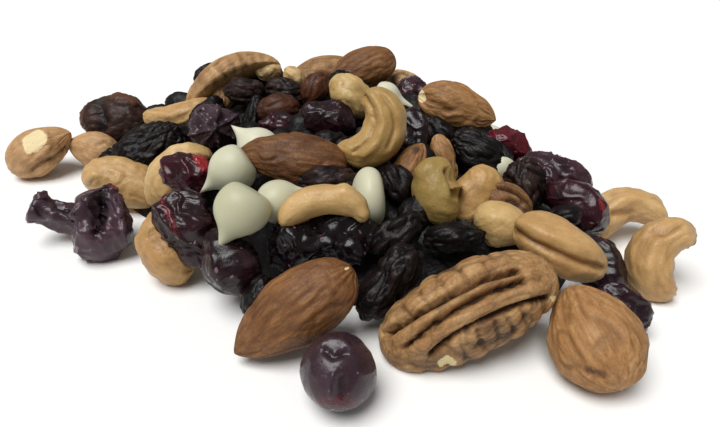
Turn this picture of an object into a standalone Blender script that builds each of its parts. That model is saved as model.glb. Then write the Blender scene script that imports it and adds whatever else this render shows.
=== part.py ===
"""A loose heap of trail mix: almonds, cashews, pecan halves, raisins, dried cranberries, one round dried berry
and white chips, lying as they fell on a flat surface.

Blender 4.5. Metres, +Z up; the origin is under the middle of the heap, on the surface that it lies on, and
+X runs along the heap's length. Tables of sizes and places are in millimetres and degrees.
"""
import math
import random

import bmesh
import bpy
import numpy as np
from mathutils import Vector

MM = 0.001

NODE_NAME = "trail_mix_heap"
PARTS_COLLECTION = "trail_mix"
PIECES_COLLECTION = "trail_mix_pieces"
CUTTERS_COLLECTION = "trail_mix_cutters"

# The tables below are measured from a point on the table under the heap's middle; this brings the finished
# heap's box over the origin
HEAP_SHIFT = (-1.0, -2.8, 0.0)

# The visible pieces' angles are measured in a plane that leans back like the heap's front slope
FRONT_PLANE_LEAN = 59.0
# The hidden pieces' angles are measured in a plane that leans like the heap's back slope
BACK_PLANE_LEAN = -35.0

# Flat-sided pieces lie inside their true outline, so their sections are made this much larger
SIDES_SWELL = 1.06

# Each row: x, y, z, heading, lean, spin, length, width, thickness (mm and degrees)
ALMONDS = [
    (-76.0, 21.0, 7.3, 30, 0, -40, 20.0, 15.0, 12.0),
    (-62.0, 23.5, 6.0, 165, 0, -40, 15.5, 12.0, 10.0),
    (-24.5, 32.0, 20.3, 70, 0, 0, 11.0, 7.0, 6.0),
    (15.0, 38.0, 25.4, 198, 0, 0, 22.0, 12.0, 9.0),
    (41.2, 19.0, 20.7, -18, 0, 10, 22.0, 13.0, 9.0),
    (0.3, -15.0, 21.8, 172, 0, 10, 24.0, 12.0, 9.0),
    (26.0, -12.0, 17.8, 60, 0, 0, 13.0, 8.0, 7.0),
    (35.5, -3.0, 16.3, -68, 0, 0, 12.0, 5.5, 5.0),
    (56.0, -54.0, 7.2, -78, 40, 0, 19.0, 16.5, 12.0),
    (3.5, -50.0, 9.0, 215, 0, 0, 25.5, 13.5, 11.0),
]
# Each row also ends with the half angle that the kernel bends through
CASHEWS = [
    (-45.5, 0.0, 6.0, -18, 0, -20, 23.0, 11.5, 10.0, 50),
    (-28.0, -5.0, 12.0, 48, 0, 0, 23.0, 10.0, 10.0, 60),
    (-24.3, -28.0, 8.0, 118, 0, 0, 20.5, 11.0, 11.0, 45),
    (-36.5, 26.0, 16.5, -168, 0, 0, 25.0, 8.5, 9.0, 40),
    (-11.6, 35.0, 25.6, 0, 0, 0, 11.0, 6.0, 6.0, 25),
    (-4.0, 31.0, 25.0, -45, 0, 0, 10.0, 5.5, 6.0, 25),
    (11.8, 13.0, 25.0, -45, 0, 0, 17.0, 10.0, 10.0, 50),
    (16.5, -9.0, 26.3, -118, 0, 0, 18.5, 9.5, 10.0, 105),
    (7.5, -34.0, 20.0, 8, 0, 0, 19.0, 6.0, 7.0, 55),
    (33.0, -22.0, 18.0, 100, 0, -20, 16.5, 10.5, 10.0, 75),
    (38.5, -18.5, 15.0, -114, 0, 0, 18.0, 11.5, 9.0, 60),
    (78.0, -15.0, 5.2, -12, 0, -10, 24.0, 9.0, 9.0, 65),
    (77.5, -32.0, 7.3, 70, 0, 0, 18.0, 9.0, 9.5, 100),
    (53.8, -36.0, 13.2, -33, 0, 105, 24.0, 11.0, 12.0, 35),
    (42.0, -31.0, 13.0, -20, 0, 0, 13.0, 9.0, 9.0, 40),
]
# Each row also ends with how far the half's ends droop below its middle
PECANS = [
    (-23.3, 34.5, 23.0, 27, 0, -90, 30.5, 14.0, 8.5, 3.5),
    (5.0, 42.0, 22.8, 6, 0, -80, 24.0, 13.0, 8.0, 2.0),
    (34.0, -49.0, 8.5, 26, 0, -22, 34.0, 16.5, 12.0, 1.5),
    (46.3, -21.0, 13.5, -30, 0, -60, 12.0, 8.0, 7.0, 0.5),
]
RAISINS = [
    (-57.5, 32.0, 11.5, -5, 0, -20, 21.0, 14.5, 12.0),
    (-41.0, 10.5, 11.3, 28, 0, -10, 22.0, 16.0, 12.0),
    (-30.0, 41.0, 22.5, 20, 0, 0, 9.5, 7.0, 6.0),
    (-16.6, 24.0, 23.5, 0, 0, 0, 11.0, 8.0, 7.0),
    (-6.0, 25.0, 22.7, -20, 0, 0, 11.0, 8.0, 7.0),
    (-7.0, 17.0, 21.0, 10, 0, 0, 12.0, 9.0, 8.0),
    (-13.5, 17.0, 19.0, 80, 0, 0, 11.5, 5.0, 6.0),
    (3.0, 23.0, 24.5, 60, 0, 0, 10.0, 7.0, 7.0),
    (8.3, -20.0, 18.5, 0, 0, 0, 13.0, 8.0, 7.0),
    (23.2, -18.0, 16.7, -60, 0, 0, 10.0, 7.0, 7.0),
    (44.7, 0.0, 15.3, -35, 0, 0, 17.0, 11.0, 9.0),
    (52.5, -13.0, 14.3, 100, 0, 0, 11.5, 9.0, 8.0),
    (57.0, -27.0, 14.5, 0, 0, 0, 6.5, 5.0, 6.0),
    (-4.5, -43.0, 7.0, 60, 0, 0, 7.5, 4.5, 7.0),
    (21.5, -33.0, 14.0, 30, 0, 0, 14.0, 6.0, 7.0),
    (20.3, -43.0, 9.4, 52, 0, 0, 16.0, 7.5, 8.0),
    (33.5, -33.0, 13.3, 5, 0, 0, 12.5, 6.0, 7.0),
]
CRANBERRIES = [
    (-43.0, -17.0, 7.0, 80, 0, 0, 15.0, 12.0, 11.0),
    (-54.0, -14.0, 7.0, 165, 5, 0, 14.5, 7.0, 6.0),
    (-23.0, -13.0, 17.0, 60, 0, 0, 10.5, 9.5, 8.0),
    (-19.5, -29.0, 13.0, -55, 0, 0, 17.0, 11.5, 9.0),
    (-10.0, -37.0, 9.0, 0, 0, 0, 11.5, 12.0, 11.0),
    (-20.7, 5.0, 20.7, 0, 0, 0, 13.0, 12.0, 10.0),
    (-5.5, 8.0, 20.0, 0, 0, 0, 11.0, 7.0, 6.0),
    (29.5, 28.0, 21.0, 30, 0, 0, 11.0, 9.0, 8.0),
    (7.0, 7.0, 22.0, -20, 0, 0, 15.0, 8.0, 8.0),
    (28.7, 3.0, 19.7, 80, 0, 0, 11.0, 8.0, 8.0),
    (55.0, 13.0, 12.4, -25, 0, 0, 14.0, 7.0, 8.0),
    (61.2, -11.0, 13.3, -25, 0, 0, 15.0, 10.0, 9.0),
    (62.5, -20.0, 12.0, -35, 0, 0, 15.0, 10.0, 10.0),
    (64.5, -33.0, 6.0, 90, 0, 0, 12.0, 7.0, 8.0),
    (64.0, -45.0, 5.3, -45, 0, 0, 12.0, 8.0, 7.0),
    (3.2, -34.0, 13.0, 20, 0, 0, 14.0, 12.0, 10.0),
    (12.0, -33.0, 14.0, -20, 0, 0, 13.0, 11.0, 9.0),
    (11.5, -61.0, 6.3, 0, 0, 0, 12.4, 12.4, 12.4),
]
CHIPS = [
    (21.7, 20.0, 23.4, -20, 0, 0, 11.0, 8.0, 8.0),
    (-8.6, -5.0, 19.6, 140, 0, 0, 11.5, 10.0, 10.0),
    (-11.8, -18.0, 21.0, 216, 0, 0, 12.0, 10.2, 10.2),
    (-6.8, -35.0, 21.2, 239, 0, 0, 12.5, 10.5, 10.5),
    (-1.5, -28.0, 18.4, 20, 0, 0, 10.0, 9.0, 9.0),
    (17.2, -24.0, 17.3, 185, 0, 0, 8.0, 12.5, 12.5),
    (49.0, -2.0, 11.8, 60, 0, 0, 10.0, 7.5, 7.5),
]

# The crest of the heap from left to right (x, y, height of the pieces' middles); behind it the heap falls away
CREST = [
    (-72, 28, 6), (-60, 40, 10), (-30, 46, 19), (0, 50, 22), (22, 46, 22), (45, 28, 17), (62, 16, 11), (80, -4, 5),
]
BACK_FALL = 0.72
BACK_LOWEST_MIDDLE = 4.6

# Pieces that no picture shows fill the gaps: they are tried at the points of a shaken grid of this pitch
HIDDEN_PITCH = 9.5
HIDDEN_JITTER = 1.5
HIDDEN_SPACING = 8.4
HIDDEN_SEED = 11
HIDDEN_MESH = (6, 4)
# In front of the crest they lie this high over the core, and this far inside the foot line
GAP_HEIGHT = 1.5
GAP_REACH = 0.8
BACK_REACH = 0.97

# The foot of the core, as points on the table round the heap, and the middle that they are seen from
CORE_MIDDLE = (5.0, 5.0)
CORE_FOOT = [
    (78, -12), (70, -30), (60, -44), (34, -43), (8, -43), (-8, -32), (-22, -22), (-42, -8), (-60, 12),
    (-74, 20), (-68, 30), (-50, 48), (-30, 64), (0, 72), (25, 66), (48, 44), (64, 26), (76, 6),
]
CORE_RINGS = 6
CORE_SIDES = 28
CORE_DROP = 2.0
CORE_REACH = 8.0
CORE_LEAST_HEIGHT = 2.0
CORE_RIM_POWER = 8

# A piece that hardly meets the core is tied to it by a tapered peg, from its middle inward and down. A piece
# needs none whose middle lies inside the foot line, and less than this share of its thickness above the core
PEG_FREE_SHARE = 0.3
PEG_FREE_REACH = 0.9
PEG_RADIUS = 2.0
PEG_FOOT_RADIUS = 3.0
PEG_SIDES = 3
PEG_REACH = 20.0
PEG_FALL = 9.0
PEG_LEAST_HEIGHT = 2.5

# How many sides and rings of faces each kind of piece is made with
ALMOND_MESH = (8, 6)
CASHEW_MESH = (6, 7)
PECAN_MESH = (10, 7)
RAISIN_MESH = (6, 5)
CRANBERRY_MESH = (6, 5)
CHIP_MESH = (7, 6)

# The trimming slab under the table: half its side and its thickness
TRIM_HALF_SIDE = 150.0
TRIM_DEPTH = 30.0

# Corners closer than this are welded after the pieces are fused
WELD_GAP = 0.01


def clear_scene():
    """Remove every object, so that the script can be run again."""
    for item in list(bpy.data.objects):
        bpy.data.objects.remove(item, do_unlink=True)


def new_collection(name):
    """A collection of that name, linked to the scene."""
    collection = bpy.data.collections.get(name) or bpy.data.collections.new(name)
    if name not in bpy.context.scene.collection.children:
        bpy.context.scene.collection.children.link(collection)
    return collection


def rotation(axis, degrees):
    """The 3 x 3 matrix of a turn about the x, y or z axis."""
    c = math.cos(math.radians(degrees))
    s = math.sin(math.radians(degrees))
    if axis == "x":
        return np.array([[1, 0, 0], [0, c, -s], [0, s, c]])
    if axis == "y":
        return np.array([[c, 0, s], [0, 1, 0], [-s, 0, c]])
    return np.array([[c, -s, 0], [s, c, 0], [0, 0, 1]])


def pose(plane_lean, heading, lean, spin):
    """A piece's rotation: spun about its long axis, its far end raised by lean, headed in the leaning plane."""
    return rotation("x", plane_lean) @ rotation("z", heading) @ rotation("y", -lean) @ rotation("x", spin)


def section(ball):
    """A unit ball's points as cosine from its +x pole, sine, and direction round the x axis."""
    along = np.clip(ball[:, 2], -1, 1)
    sine = np.sqrt(np.maximum(1 - along ** 2, 0))
    safe = np.where(sine > 1e-6, sine, 1)
    return along, sine, ball[:, 0] / safe, ball[:, 1] / safe


def almond_form(ball, length, width, thickness):
    """A flattened teardrop, pointed at +x and blunt at the other end."""
    along, _, across, up = section(ball)
    widest = -0.18
    swell = (1 + along) ** 0.5 * (1 - along) ** 0.72
    swell = swell / ((1 + widest) ** 0.5 * (1 - widest) ** 0.72)
    return np.stack([length / 2 * along, width / 2 * swell * across, thickness / 2 * swell * up], 1)


def cashew_form(ball, length, width, thickness, bend):
    """A capsule carried round an arc in the xy plane, bulging towards +y, with its +x end a little thinner."""
    along, _, across, up = section(ball)
    swell = (1 - np.abs(along) ** 2.4) ** 0.5 * (1 - 0.10 * along)
    half_angle = math.radians(bend)
    radius = (length / 2 - 0.32 * width) / math.sin(min(half_angle, math.pi / 2))
    angle = half_angle * along
    out = radius + width / 2 * swell * across
    middle = radius * (1 + math.cos(half_angle)) / 2
    return np.stack([out * np.sin(angle), out * np.cos(angle) - middle, thickness / 2 * swell * up], 1)


def pecan_form(ball, length, width, thickness, droop):
    """Half a pecan: flat below, with a ridge between two long furrows above, its ends drooping."""
    along, sine, across, up = section(ball)
    swell = sine ** 0.8
    side = swell * across
    furrow = 1 - 0.22 * np.exp(-((np.abs(across) - 0.45) / 0.2) ** 2)
    height = thickness * swell * up * np.where(up > 0, 0.72 * furrow, 0.28)
    return np.stack([length / 2 * along, width / 2 * side, height - droop * along ** 2], 1)


def lump_form(ball, length, width, thickness, phase):
    """A dried fruit: an egg shape with slow swellings, whose places follow from the phase."""
    swell = 1 + 0.07 * (np.sin(2.6 * ball[:, 0] + phase) + np.sin(3.1 * ball[:, 1] + 2.1 * phase))
    along, sine, across, up = section(ball)
    return np.stack([
        length / 2 * along, width / 2 * sine * across * swell, thickness / 2 * sine * up * swell], 1)


def chip_form(ball, length, width, thickness):
    """A white chip: a drop with its tip at +x and a flat foot."""
    along, _, across, up = section(ball)
    angle = np.arccos(along)
    reach = 2 * length / width - 1.75
    radius = width / 2 * (1 + reach * np.exp(-(angle / 0.42) ** 1.6))
    foot = -0.375 * width
    return np.stack([
        np.maximum(radius * np.cos(angle), foot), radius * np.sin(angle) * across,
        radius * np.sin(angle) * up * thickness / width], 1)


FORMS = {
    "almond": (ALMOND_MESH, almond_form),
    "cashew": (CASHEW_MESH, cashew_form),
    "pecan": (PECAN_MESH, pecan_form),
    "raisin": (RAISIN_MESH, lump_form),
    "cranberry": (CRANBERRY_MESH, lump_form),
    "chip": (CHIP_MESH, chip_form),
}


def visible_pieces():
    """Every hand-placed piece as (kind, place, rotation, sizes)."""
    tables = {
        "almond": ALMONDS, "cashew": CASHEWS, "pecan": PECANS, "raisin": RAISINS, "cranberry": CRANBERRIES,
        "chip": CHIPS,
    }
    pieces = []
    for kind, rows in tables.items():
        for number, row in enumerate(rows):
            sizes = list(row[6:])
            if kind in ("raisin", "cranberry"):
                sizes.append(1.7 * number)
            pieces.append((kind, np.array(row[:3]), pose(FRONT_PLANE_LEAN, *row[3:6]), sizes))
    return pieces


# What the hidden pieces are: kind, share, and the usual length, width, thickness and last size
HIDDEN_KINDS = [
    ("almond", 3, (22.0, 12.5, 8.5)),
    ("cashew", 4, (20.0, 9.5, 9.5, 60)),
    ("pecan", 1, (28.0, 14.0, 9.0, 2.0)),
    ("raisin", 5, (14.0, 9.5, 8.0, 0.0)),
    ("cranberry", 4, (14.5, 10.5, 8.5, 0.0)),
    ("chip", 2, (11.5, 10.0, 10.0)),
]
GAP_KIND = ("raisin", 1, (11.0, 8.0, 7.0, 0.0))


def hidden_place(x, y, visible):
    """A hidden piece's middle over (x, y), None if off the heap, and whether that is behind the crest."""
    crest_x, crest_y, crest_z = zip(*CREST)
    behind = y - np.interp(x, crest_x, crest_y)
    outward = math.hypot(x - CORE_MIDDLE[0], y - CORE_MIDDLE[1])
    bearing = math.atan2(y - CORE_MIDDLE[1], x - CORE_MIDDLE[0])
    share = outward / core_radius(bearing)
    if behind > 0 and share < BACK_REACH:
        height = max(np.interp(x, crest_x, crest_z) - BACK_FALL * behind, BACK_LOWEST_MIDDLE)
        return np.array([x, y, height]), True
    if behind <= 0 and share < GAP_REACH:
        height = core_height(np.array([x]), np.array([y]), visible)[0] + GAP_HEIGHT
        return np.array([x, y, height]), False
    return None, False


def hidden_pieces(visible):
    """Pieces in the gaps between the visible ones and down the back, as (kind, place, rotation, sizes)."""
    draw = random.Random(HIDDEN_SEED)
    foot = np.array(CORE_FOOT)
    pieces = []
    for row, y in enumerate(np.arange(foot[:, 1].min(), foot[:, 1].max(), 0.87 * HIDDEN_PITCH)):
        for x in np.arange(foot[:, 0].min() + (row % 2) * HIDDEN_PITCH / 2, foot[:, 0].max(), HIDDEN_PITCH):
            shaken = [value + draw.uniform(-HIDDEN_JITTER, HIDDEN_JITTER) for value in (x, y)]
            kind, _, usual = draw.choices(HIDDEN_KINDS, [share for _, share, _ in HIDDEN_KINDS])[0]
            scale = draw.uniform(0.88, 1.08)
            phase = draw.uniform(0, 6.0)
            angles = (draw.uniform(0, 360), draw.uniform(-12, 12), draw.uniform(-25, 25))
            place, behind = hidden_place(*shaken, visible)
            if place is None:
                continue
            if min(np.linalg.norm(place - other[1]) for other in visible + pieces) < HIDDEN_SPACING:
                continue
            if not behind:
                kind, _, usual = GAP_KIND
            sizes = [scale * size for size in usual[:3]] + list(usual[3:])
            if kind in ("raisin", "cranberry"):
                sizes[3] = phase
            turned = pose(BACK_PLANE_LEAN if behind else FRONT_PLANE_LEAN, *angles)
            pieces.append((kind, place, turned, sizes))
    return pieces


def ball_mesh(sides, rings):
    """A unit UV ball with its poles on z."""
    mesh = bmesh.new()
    bmesh.ops.create_uvsphere(mesh, u_segments=sides, v_segments=rings, radius=1.0)
    return mesh


def move_points(mesh, points):
    """Give a bmesh's vertices new places, in millimetres."""
    for vertex, point in zip(mesh.verts, points):
        vertex.co = point * MM


def finish_object(mesh, name, collection):
    """Turn a bmesh into an object in the collection."""
    data = bpy.data.meshes.new(name)
    mesh.to_mesh(data)
    mesh.free()
    result = bpy.data.objects.new(name, data)
    collection.objects.link(result)
    return result


def make_piece(number, piece, hidden, collection):
    """One nut, fruit or chip as a closed low-sided solid in its place."""
    kind, place, turned, sizes = piece
    (sides, rings), form = FORMS[kind]
    if hidden:
        sides, rings = HIDDEN_MESH
    mesh = ball_mesh(sides, rings)
    ball = np.array([vertex.co for vertex in mesh.verts])
    swelled = list(sizes)
    swelled[1] *= SIDES_SWELL
    swelled[2] *= SIDES_SWELL
    move_points(mesh, form(ball, *swelled) @ turned.T + place)
    return finish_object(mesh, f"{kind}_{number:03d}", collection)


def make_peg(number, piece, collection):
    """The peg from a piece's middle to a point inside the core."""
    start = Vector(piece[1])
    inward = (Vector((*CORE_MIDDLE, 0)) - Vector((start.x, start.y, 0))).normalized()
    end = start + PEG_REACH * inward
    end.z = max(start.z - PEG_FALL, PEG_LEAST_HEIGHT)
    run = end - start
    mesh = bmesh.new()
    bmesh.ops.create_cone(
        mesh, cap_ends=True, segments=PEG_SIDES, radius1=PEG_RADIUS, radius2=PEG_FOOT_RADIUS, depth=run.length)
    turn = run.to_track_quat("Z", "Y")
    move_points(mesh, [turn @ vertex.co + (start + end) / 2 for vertex in mesh.verts])
    return finish_object(mesh, f"peg_{number:03d}", collection)


def core_height(x, y, pieces):
    """Height of the core under each point: the nearby pieces' middles, averaged, less a fixed drop."""
    places = np.array([piece[1] for piece in pieces])
    apart = (x[:, None] - places[None, :, 0]) ** 2 + (y[:, None] - places[None, :, 1]) ** 2
    weight = np.exp(-apart / (2 * CORE_REACH ** 2)) + 1e-9
    return np.maximum((weight * places[None, :, 2]).sum(1) / weight.sum(1) - CORE_DROP, CORE_LEAST_HEIGHT)


def core_radius(angles):
    """Distance of the core's foot from its middle in each direction."""
    foot = np.array(CORE_FOOT, float) - CORE_MIDDLE
    bearing = np.arctan2(foot[:, 1], foot[:, 0])
    order = np.argsort(bearing)
    reach = np.hypot(foot[:, 0], foot[:, 1])[order]
    return np.interp(angles, bearing[order], reach, period=2 * math.pi)


def needs_peg(piece, pieces):
    """Whether the piece's middle is too high over the core, or too far out, for the two to fuse well."""
    x, y, z = piece[1]
    outward = np.array([x - CORE_MIDDLE[0], y - CORE_MIDDLE[1]])
    limit = PEG_FREE_REACH * core_radius(math.atan2(outward[1], outward[0]))
    height = core_height(np.array([x]), np.array([y]), pieces)[0]
    return np.hypot(*outward) > limit or z - height > PEG_FREE_SHARE * min(piece[3][1:3])


def make_core(pieces, collection):
    """The solid middle of the heap: a ball flattened below and drawn out to the foot line."""
    mesh = ball_mesh(CORE_SIDES, 2 * CORE_RINGS)
    ball = np.array([vertex.co for vertex in mesh.verts])
    level = np.hypot(ball[:, 0], ball[:, 1])
    angle = np.arctan2(ball[:, 1], ball[:, 0])
    reach = core_radius(angle) * level
    x = CORE_MIDDLE[0] + reach * np.cos(angle)
    y = CORE_MIDDLE[1] + reach * np.sin(angle)
    top = core_height(x, y, pieces) * (1 - level ** CORE_RIM_POWER)
    z = np.where(ball[:, 2] > 1e-4, top, -1.0)
    move_points(mesh, np.stack([x, y, z], 1))
    return finish_object(mesh, NODE_NAME, collection)


def apply_modifiers(target):
    """Replace the object's mesh with its evaluated one and drop its modifiers."""
    graph = bpy.context.evaluated_depsgraph_get()
    data = bpy.data.meshes.new_from_object(target.evaluated_get(graph))
    target.modifiers.clear()
    target.data = data


def fuse_pieces(core, collection):
    """Join the core and every piece into one body, and remove the loose pieces."""
    union = core.modifiers.new("fuse", "BOOLEAN")
    union.operation = "UNION"
    union.operand_type = "COLLECTION"
    union.collection = collection
    union.solver = "MANIFOLD"
    apply_modifiers(core)
    for item in list(collection.objects):
        bpy.data.objects.remove(item, do_unlink=True)
    bpy.data.collections.remove(collection)


def trim_below_table(heap, collection):
    """Cut away what reaches below the table, which leaves the heap its flat foot."""
    mesh = bmesh.new()
    bmesh.ops.create_cube(mesh, size=2.0)
    points = np.array([vertex.co for vertex in mesh.verts])
    points[:, :2] *= TRIM_HALF_SIDE
    points[:, 2] = (points[:, 2] - 1) * TRIM_DEPTH / 2
    move_points(mesh, points)
    slab = finish_object(mesh, "table_trim", collection)
    slab.hide_render = True
    slab.display_type = "WIRE"
    trim = heap.modifiers.new("trim", "BOOLEAN")
    trim.operation = "DIFFERENCE"
    trim.object = slab
    trim.solver = "MANIFOLD"
    apply_modifiers(heap)
    bpy.data.objects.remove(slab, do_unlink=True)


def keep_largest_body(heap):
    """Keep the largest closed surface, which fills sealed hollows and drops loose scraps, and centre it."""
    mesh = bmesh.new()
    mesh.from_mesh(heap.data)
    bmesh.ops.remove_doubles(mesh, verts=mesh.verts, dist=WELD_GAP * MM)
    bmesh.ops.triangulate(mesh, faces=mesh.faces)
    unseen = set(mesh.faces)
    surfaces = []
    while unseen:
        stack = [unseen.pop()]
        surface = set(stack)
        while stack:
            for edge in stack.pop().edges:
                for face in edge.link_faces:
                    if len(edge.link_faces) == 2 and face in unseen:
                        unseen.discard(face)
                        surface.add(face)
                        stack.append(face)
        surfaces.append(surface)
    largest = max(surfaces, key=len)
    bmesh.ops.delete(mesh, geom=[face for face in mesh.faces if face not in largest], context="FACES")
    bmesh.ops.translate(mesh, verts=mesh.verts, vec=[MM * shift for shift in HEAP_SHIFT])
    mesh.to_mesh(heap.data)
    mesh.free()


def heap_material():
    """The mix's mean colour: browned nut skins, pale kernels and dark fruit."""
    material = bpy.data.materials.new("trail_mix")
    material.use_nodes = True
    shader = material.node_tree.nodes["Principled BSDF"]
    shader.inputs["Base Color"].default_value = (0.19, 0.10, 0.05, 1.0)
    shader.inputs["Roughness"].default_value = 0.5
    shader.inputs["Metallic"].default_value = 0.0
    return material


def main():
    clear_scene()
    parts = new_collection(PARTS_COLLECTION)
    loose = new_collection(PIECES_COLLECTION)
    cutters = new_collection(CUTTERS_COLLECTION)
    visible = visible_pieces()
    pieces = visible + hidden_pieces(visible)
    for number, piece in enumerate(pieces):
        make_piece(number, piece, number >= len(visible), loose)
        if needs_peg(piece, pieces):
            make_peg(number, piece, loose)
    heap = make_core(pieces, parts)
    fuse_pieces(heap, loose)
    trim_below_table(heap, cutters)
    keep_largest_body(heap)
    heap.data.materials.clear()
    heap.data.materials.append(heap_material())


main()
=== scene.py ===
"""Looks of a loose heap of trail mix: nuts, dried fruit and white chips over a dark core.

Lengths in the tables are in millimetres and angles in degrees; meshes are in metres.
"""
import itertools
import math
import random

import bpy
import numpy as np
from bpy.props import FloatProperty, FloatVectorProperty, PointerProperty
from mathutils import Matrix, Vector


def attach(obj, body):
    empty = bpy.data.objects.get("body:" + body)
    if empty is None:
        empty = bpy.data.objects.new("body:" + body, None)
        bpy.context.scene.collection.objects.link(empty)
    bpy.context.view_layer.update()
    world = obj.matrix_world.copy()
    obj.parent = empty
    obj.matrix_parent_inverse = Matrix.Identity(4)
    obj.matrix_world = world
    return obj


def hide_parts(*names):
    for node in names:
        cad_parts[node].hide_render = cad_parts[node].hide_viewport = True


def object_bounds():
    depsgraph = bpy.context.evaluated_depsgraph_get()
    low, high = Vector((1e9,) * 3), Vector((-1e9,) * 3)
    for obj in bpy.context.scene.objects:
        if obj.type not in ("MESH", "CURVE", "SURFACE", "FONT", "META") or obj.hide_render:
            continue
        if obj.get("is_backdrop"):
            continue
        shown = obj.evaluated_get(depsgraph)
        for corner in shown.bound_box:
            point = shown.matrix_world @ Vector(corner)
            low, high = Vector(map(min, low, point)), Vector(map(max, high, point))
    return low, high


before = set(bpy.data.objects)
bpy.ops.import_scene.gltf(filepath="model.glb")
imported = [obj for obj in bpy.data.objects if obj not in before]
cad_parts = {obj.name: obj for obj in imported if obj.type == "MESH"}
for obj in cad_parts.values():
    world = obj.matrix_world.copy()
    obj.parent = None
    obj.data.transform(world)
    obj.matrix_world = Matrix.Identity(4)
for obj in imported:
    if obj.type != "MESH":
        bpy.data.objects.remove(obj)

CAD_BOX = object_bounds()

bl_info = {
    "name": "Trail mix heap",
    "version": (1, 0, 0),
    "blender": (4, 5, 0),
    "location": "View3D > Sidebar > Trail Mix",
    "description": "Builds a loose heap of nuts, dried fruit and white chips",
    "category": "Add Mesh",
}

MM = 0.001
NODE_NAME = "trail_mix_heap"
BODY_NAME = "root"

# The tables are measured from a point under the heap's middle; this brings its box over the origin
HEAP_SHIFT = np.array([-1.0, -2.8, 0.0])
FRONT_PLANE_LEAN = 59.0
BACK_PLANE_LEAN = -35.0

# The photograph's camera: its place before the shift, how far it looks down, and its focal length in pixels
EYE = np.array([15.0, -125.0, 74.0])
LOOK_DOWN = 31.0
FOCAL_PIXELS = 560.0
PICTURE_WIDTH = 720
PICTURE_HEIGHT = 427
SENSOR_WIDTH = 36.0

# Each row: x, y, z, heading, lean, spin, length, width, thickness (mm and degrees)
ALMONDS = [
    (-76, 21, 7.3, 30, 0, -40, 20, 15, 12),
    (-62, 23.5, 6, 165, 0, -40, 15.5, 12, 10),
    (-24.5, 32, 20.3, 70, 0, 0, 11, 7, 6),
    (15, 38, 25.4, 198, 0, 0, 22, 12, 9),
    (41.2, 19, 20.7, -18, 0, 10, 22, 13, 9),
    (0.3, -15, 21.8, 172, 0, 10, 24, 12, 9),
    (26, -12, 17.8, 60, 0, 0, 13, 8, 7),
    (35.5, -3, 16.3, -68, 0, 0, 12, 5.5, 5),
    (54.7, -54, 7.4, 104, -38, 0, 19.5, 16, 12.5),
    (3.5, -50, 9, 215, 0, 0, 25.5, 13.5, 11),
]
# Each row also ends with the half angle that the kernel bends through
CASHEWS = [
    (-45.5, 0, 6.2, -18, 0, -20, 25.5, 12.5, 11, 50),
    (-28, -5, 12, 48, 0, 0, 23, 10, 10, 60),
    (-24.3, -28, 8, 118, 0, 0, 20.5, 11, 11, 45),
    (-36.5, 26, 16.5, -168, 0, 0, 25, 8.5, 9, 40),
    (-11.6, 35, 25.6, 0, 0, 0, 11, 6, 6, 25),
    (-4, 31, 25, -45, 0, 0, 10, 5.5, 6, 25),
    (11.8, 13, 25, -45, 0, 0, 17, 10, 10, 50),
    (16.5, -9, 26.3, -118, 0, 0, 18.5, 9.5, 10, 105),
    (7.5, -34, 20, 8, 0, 0, 19, 6, 7, 55),
    (33, -22, 18, 100, 0, -20, 16.5, 10.5, 10, 75),
    (38.5, -18.5, 15, -114, 0, 0, 18, 11.5, 9, 60),
    (77, -14.5, 5.6, 10, 0, -8, 20, 8.5, 8.5, 92),
    (77.5, -32, 7.3, 70, 0, 0, 18, 9, 9.5, 100),
    (53.3, -36.5, 13.4, -31, 0, 105, 25.5, 10.5, 10, 30),
    (43.6, -28.5, 12.2, -20, 0, 0, 16, 9.5, 9, 40),
]
# Each row also ends with how far the half's ends droop below its middle
PECANS = [
    (-23.6, 34.5, 23.8, 30, 0, -90, 31, 14, 8.5, 4),
    (5, 42, 22.8, 6, 0, -80, 24, 13, 8, 2),
    (34, -49, 8.5, 26, 0, -22, 34, 16.5, 12, 1.5),
    (46.3, -21, 13.5, -30, 0, -60, 12, 8, 7, 0.5),
]
RAISINS = [
    (-57.5, 32, 11.5, -5, 0, -20, 21, 14.5, 12),
    (-41, 10.5, 11.3, 28, 0, -10, 22, 16, 12),
    (-30, 41, 22.5, 20, 0, 0, 9.5, 7, 6),
    (-16.6, 24, 23.5, 0, 0, 0, 11, 8, 7),
    (-6, 25, 22.7, -20, 0, 0, 11, 8, 7),
    (-7, 17, 21, 10, 0, 0, 12, 9, 8),
    (-13.5, 17, 19, 80, 0, 0, 11.5, 5, 6),
    (3, 23, 24.5, 60, 0, 0, 10, 7, 7),
    (8.3, -20, 18.5, 0, 0, 0, 13, 8, 7),
    (23.2, -18, 16.7, -60, 0, 0, 10, 7, 7),
    (44.7, 0, 15.3, -35, 0, 0, 17, 11, 9),
    (52.5, -13, 14.3, 100, 0, 0, 11.5, 9, 8),
    (57, -27, 14.5, 0, 0, 0, 6.5, 5, 6),
    (-4.5, -43, 7, 60, 0, 0, 7.5, 4.5, 7),
    (21.5, -33, 14, 30, 0, 0, 14, 6, 7),
    (20.3, -43, 9.4, 52, 0, 0, 16, 7.5, 8),
    (33.5, -33, 13.3, 5, 0, 0, 12.5, 6, 7),
]
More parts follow.
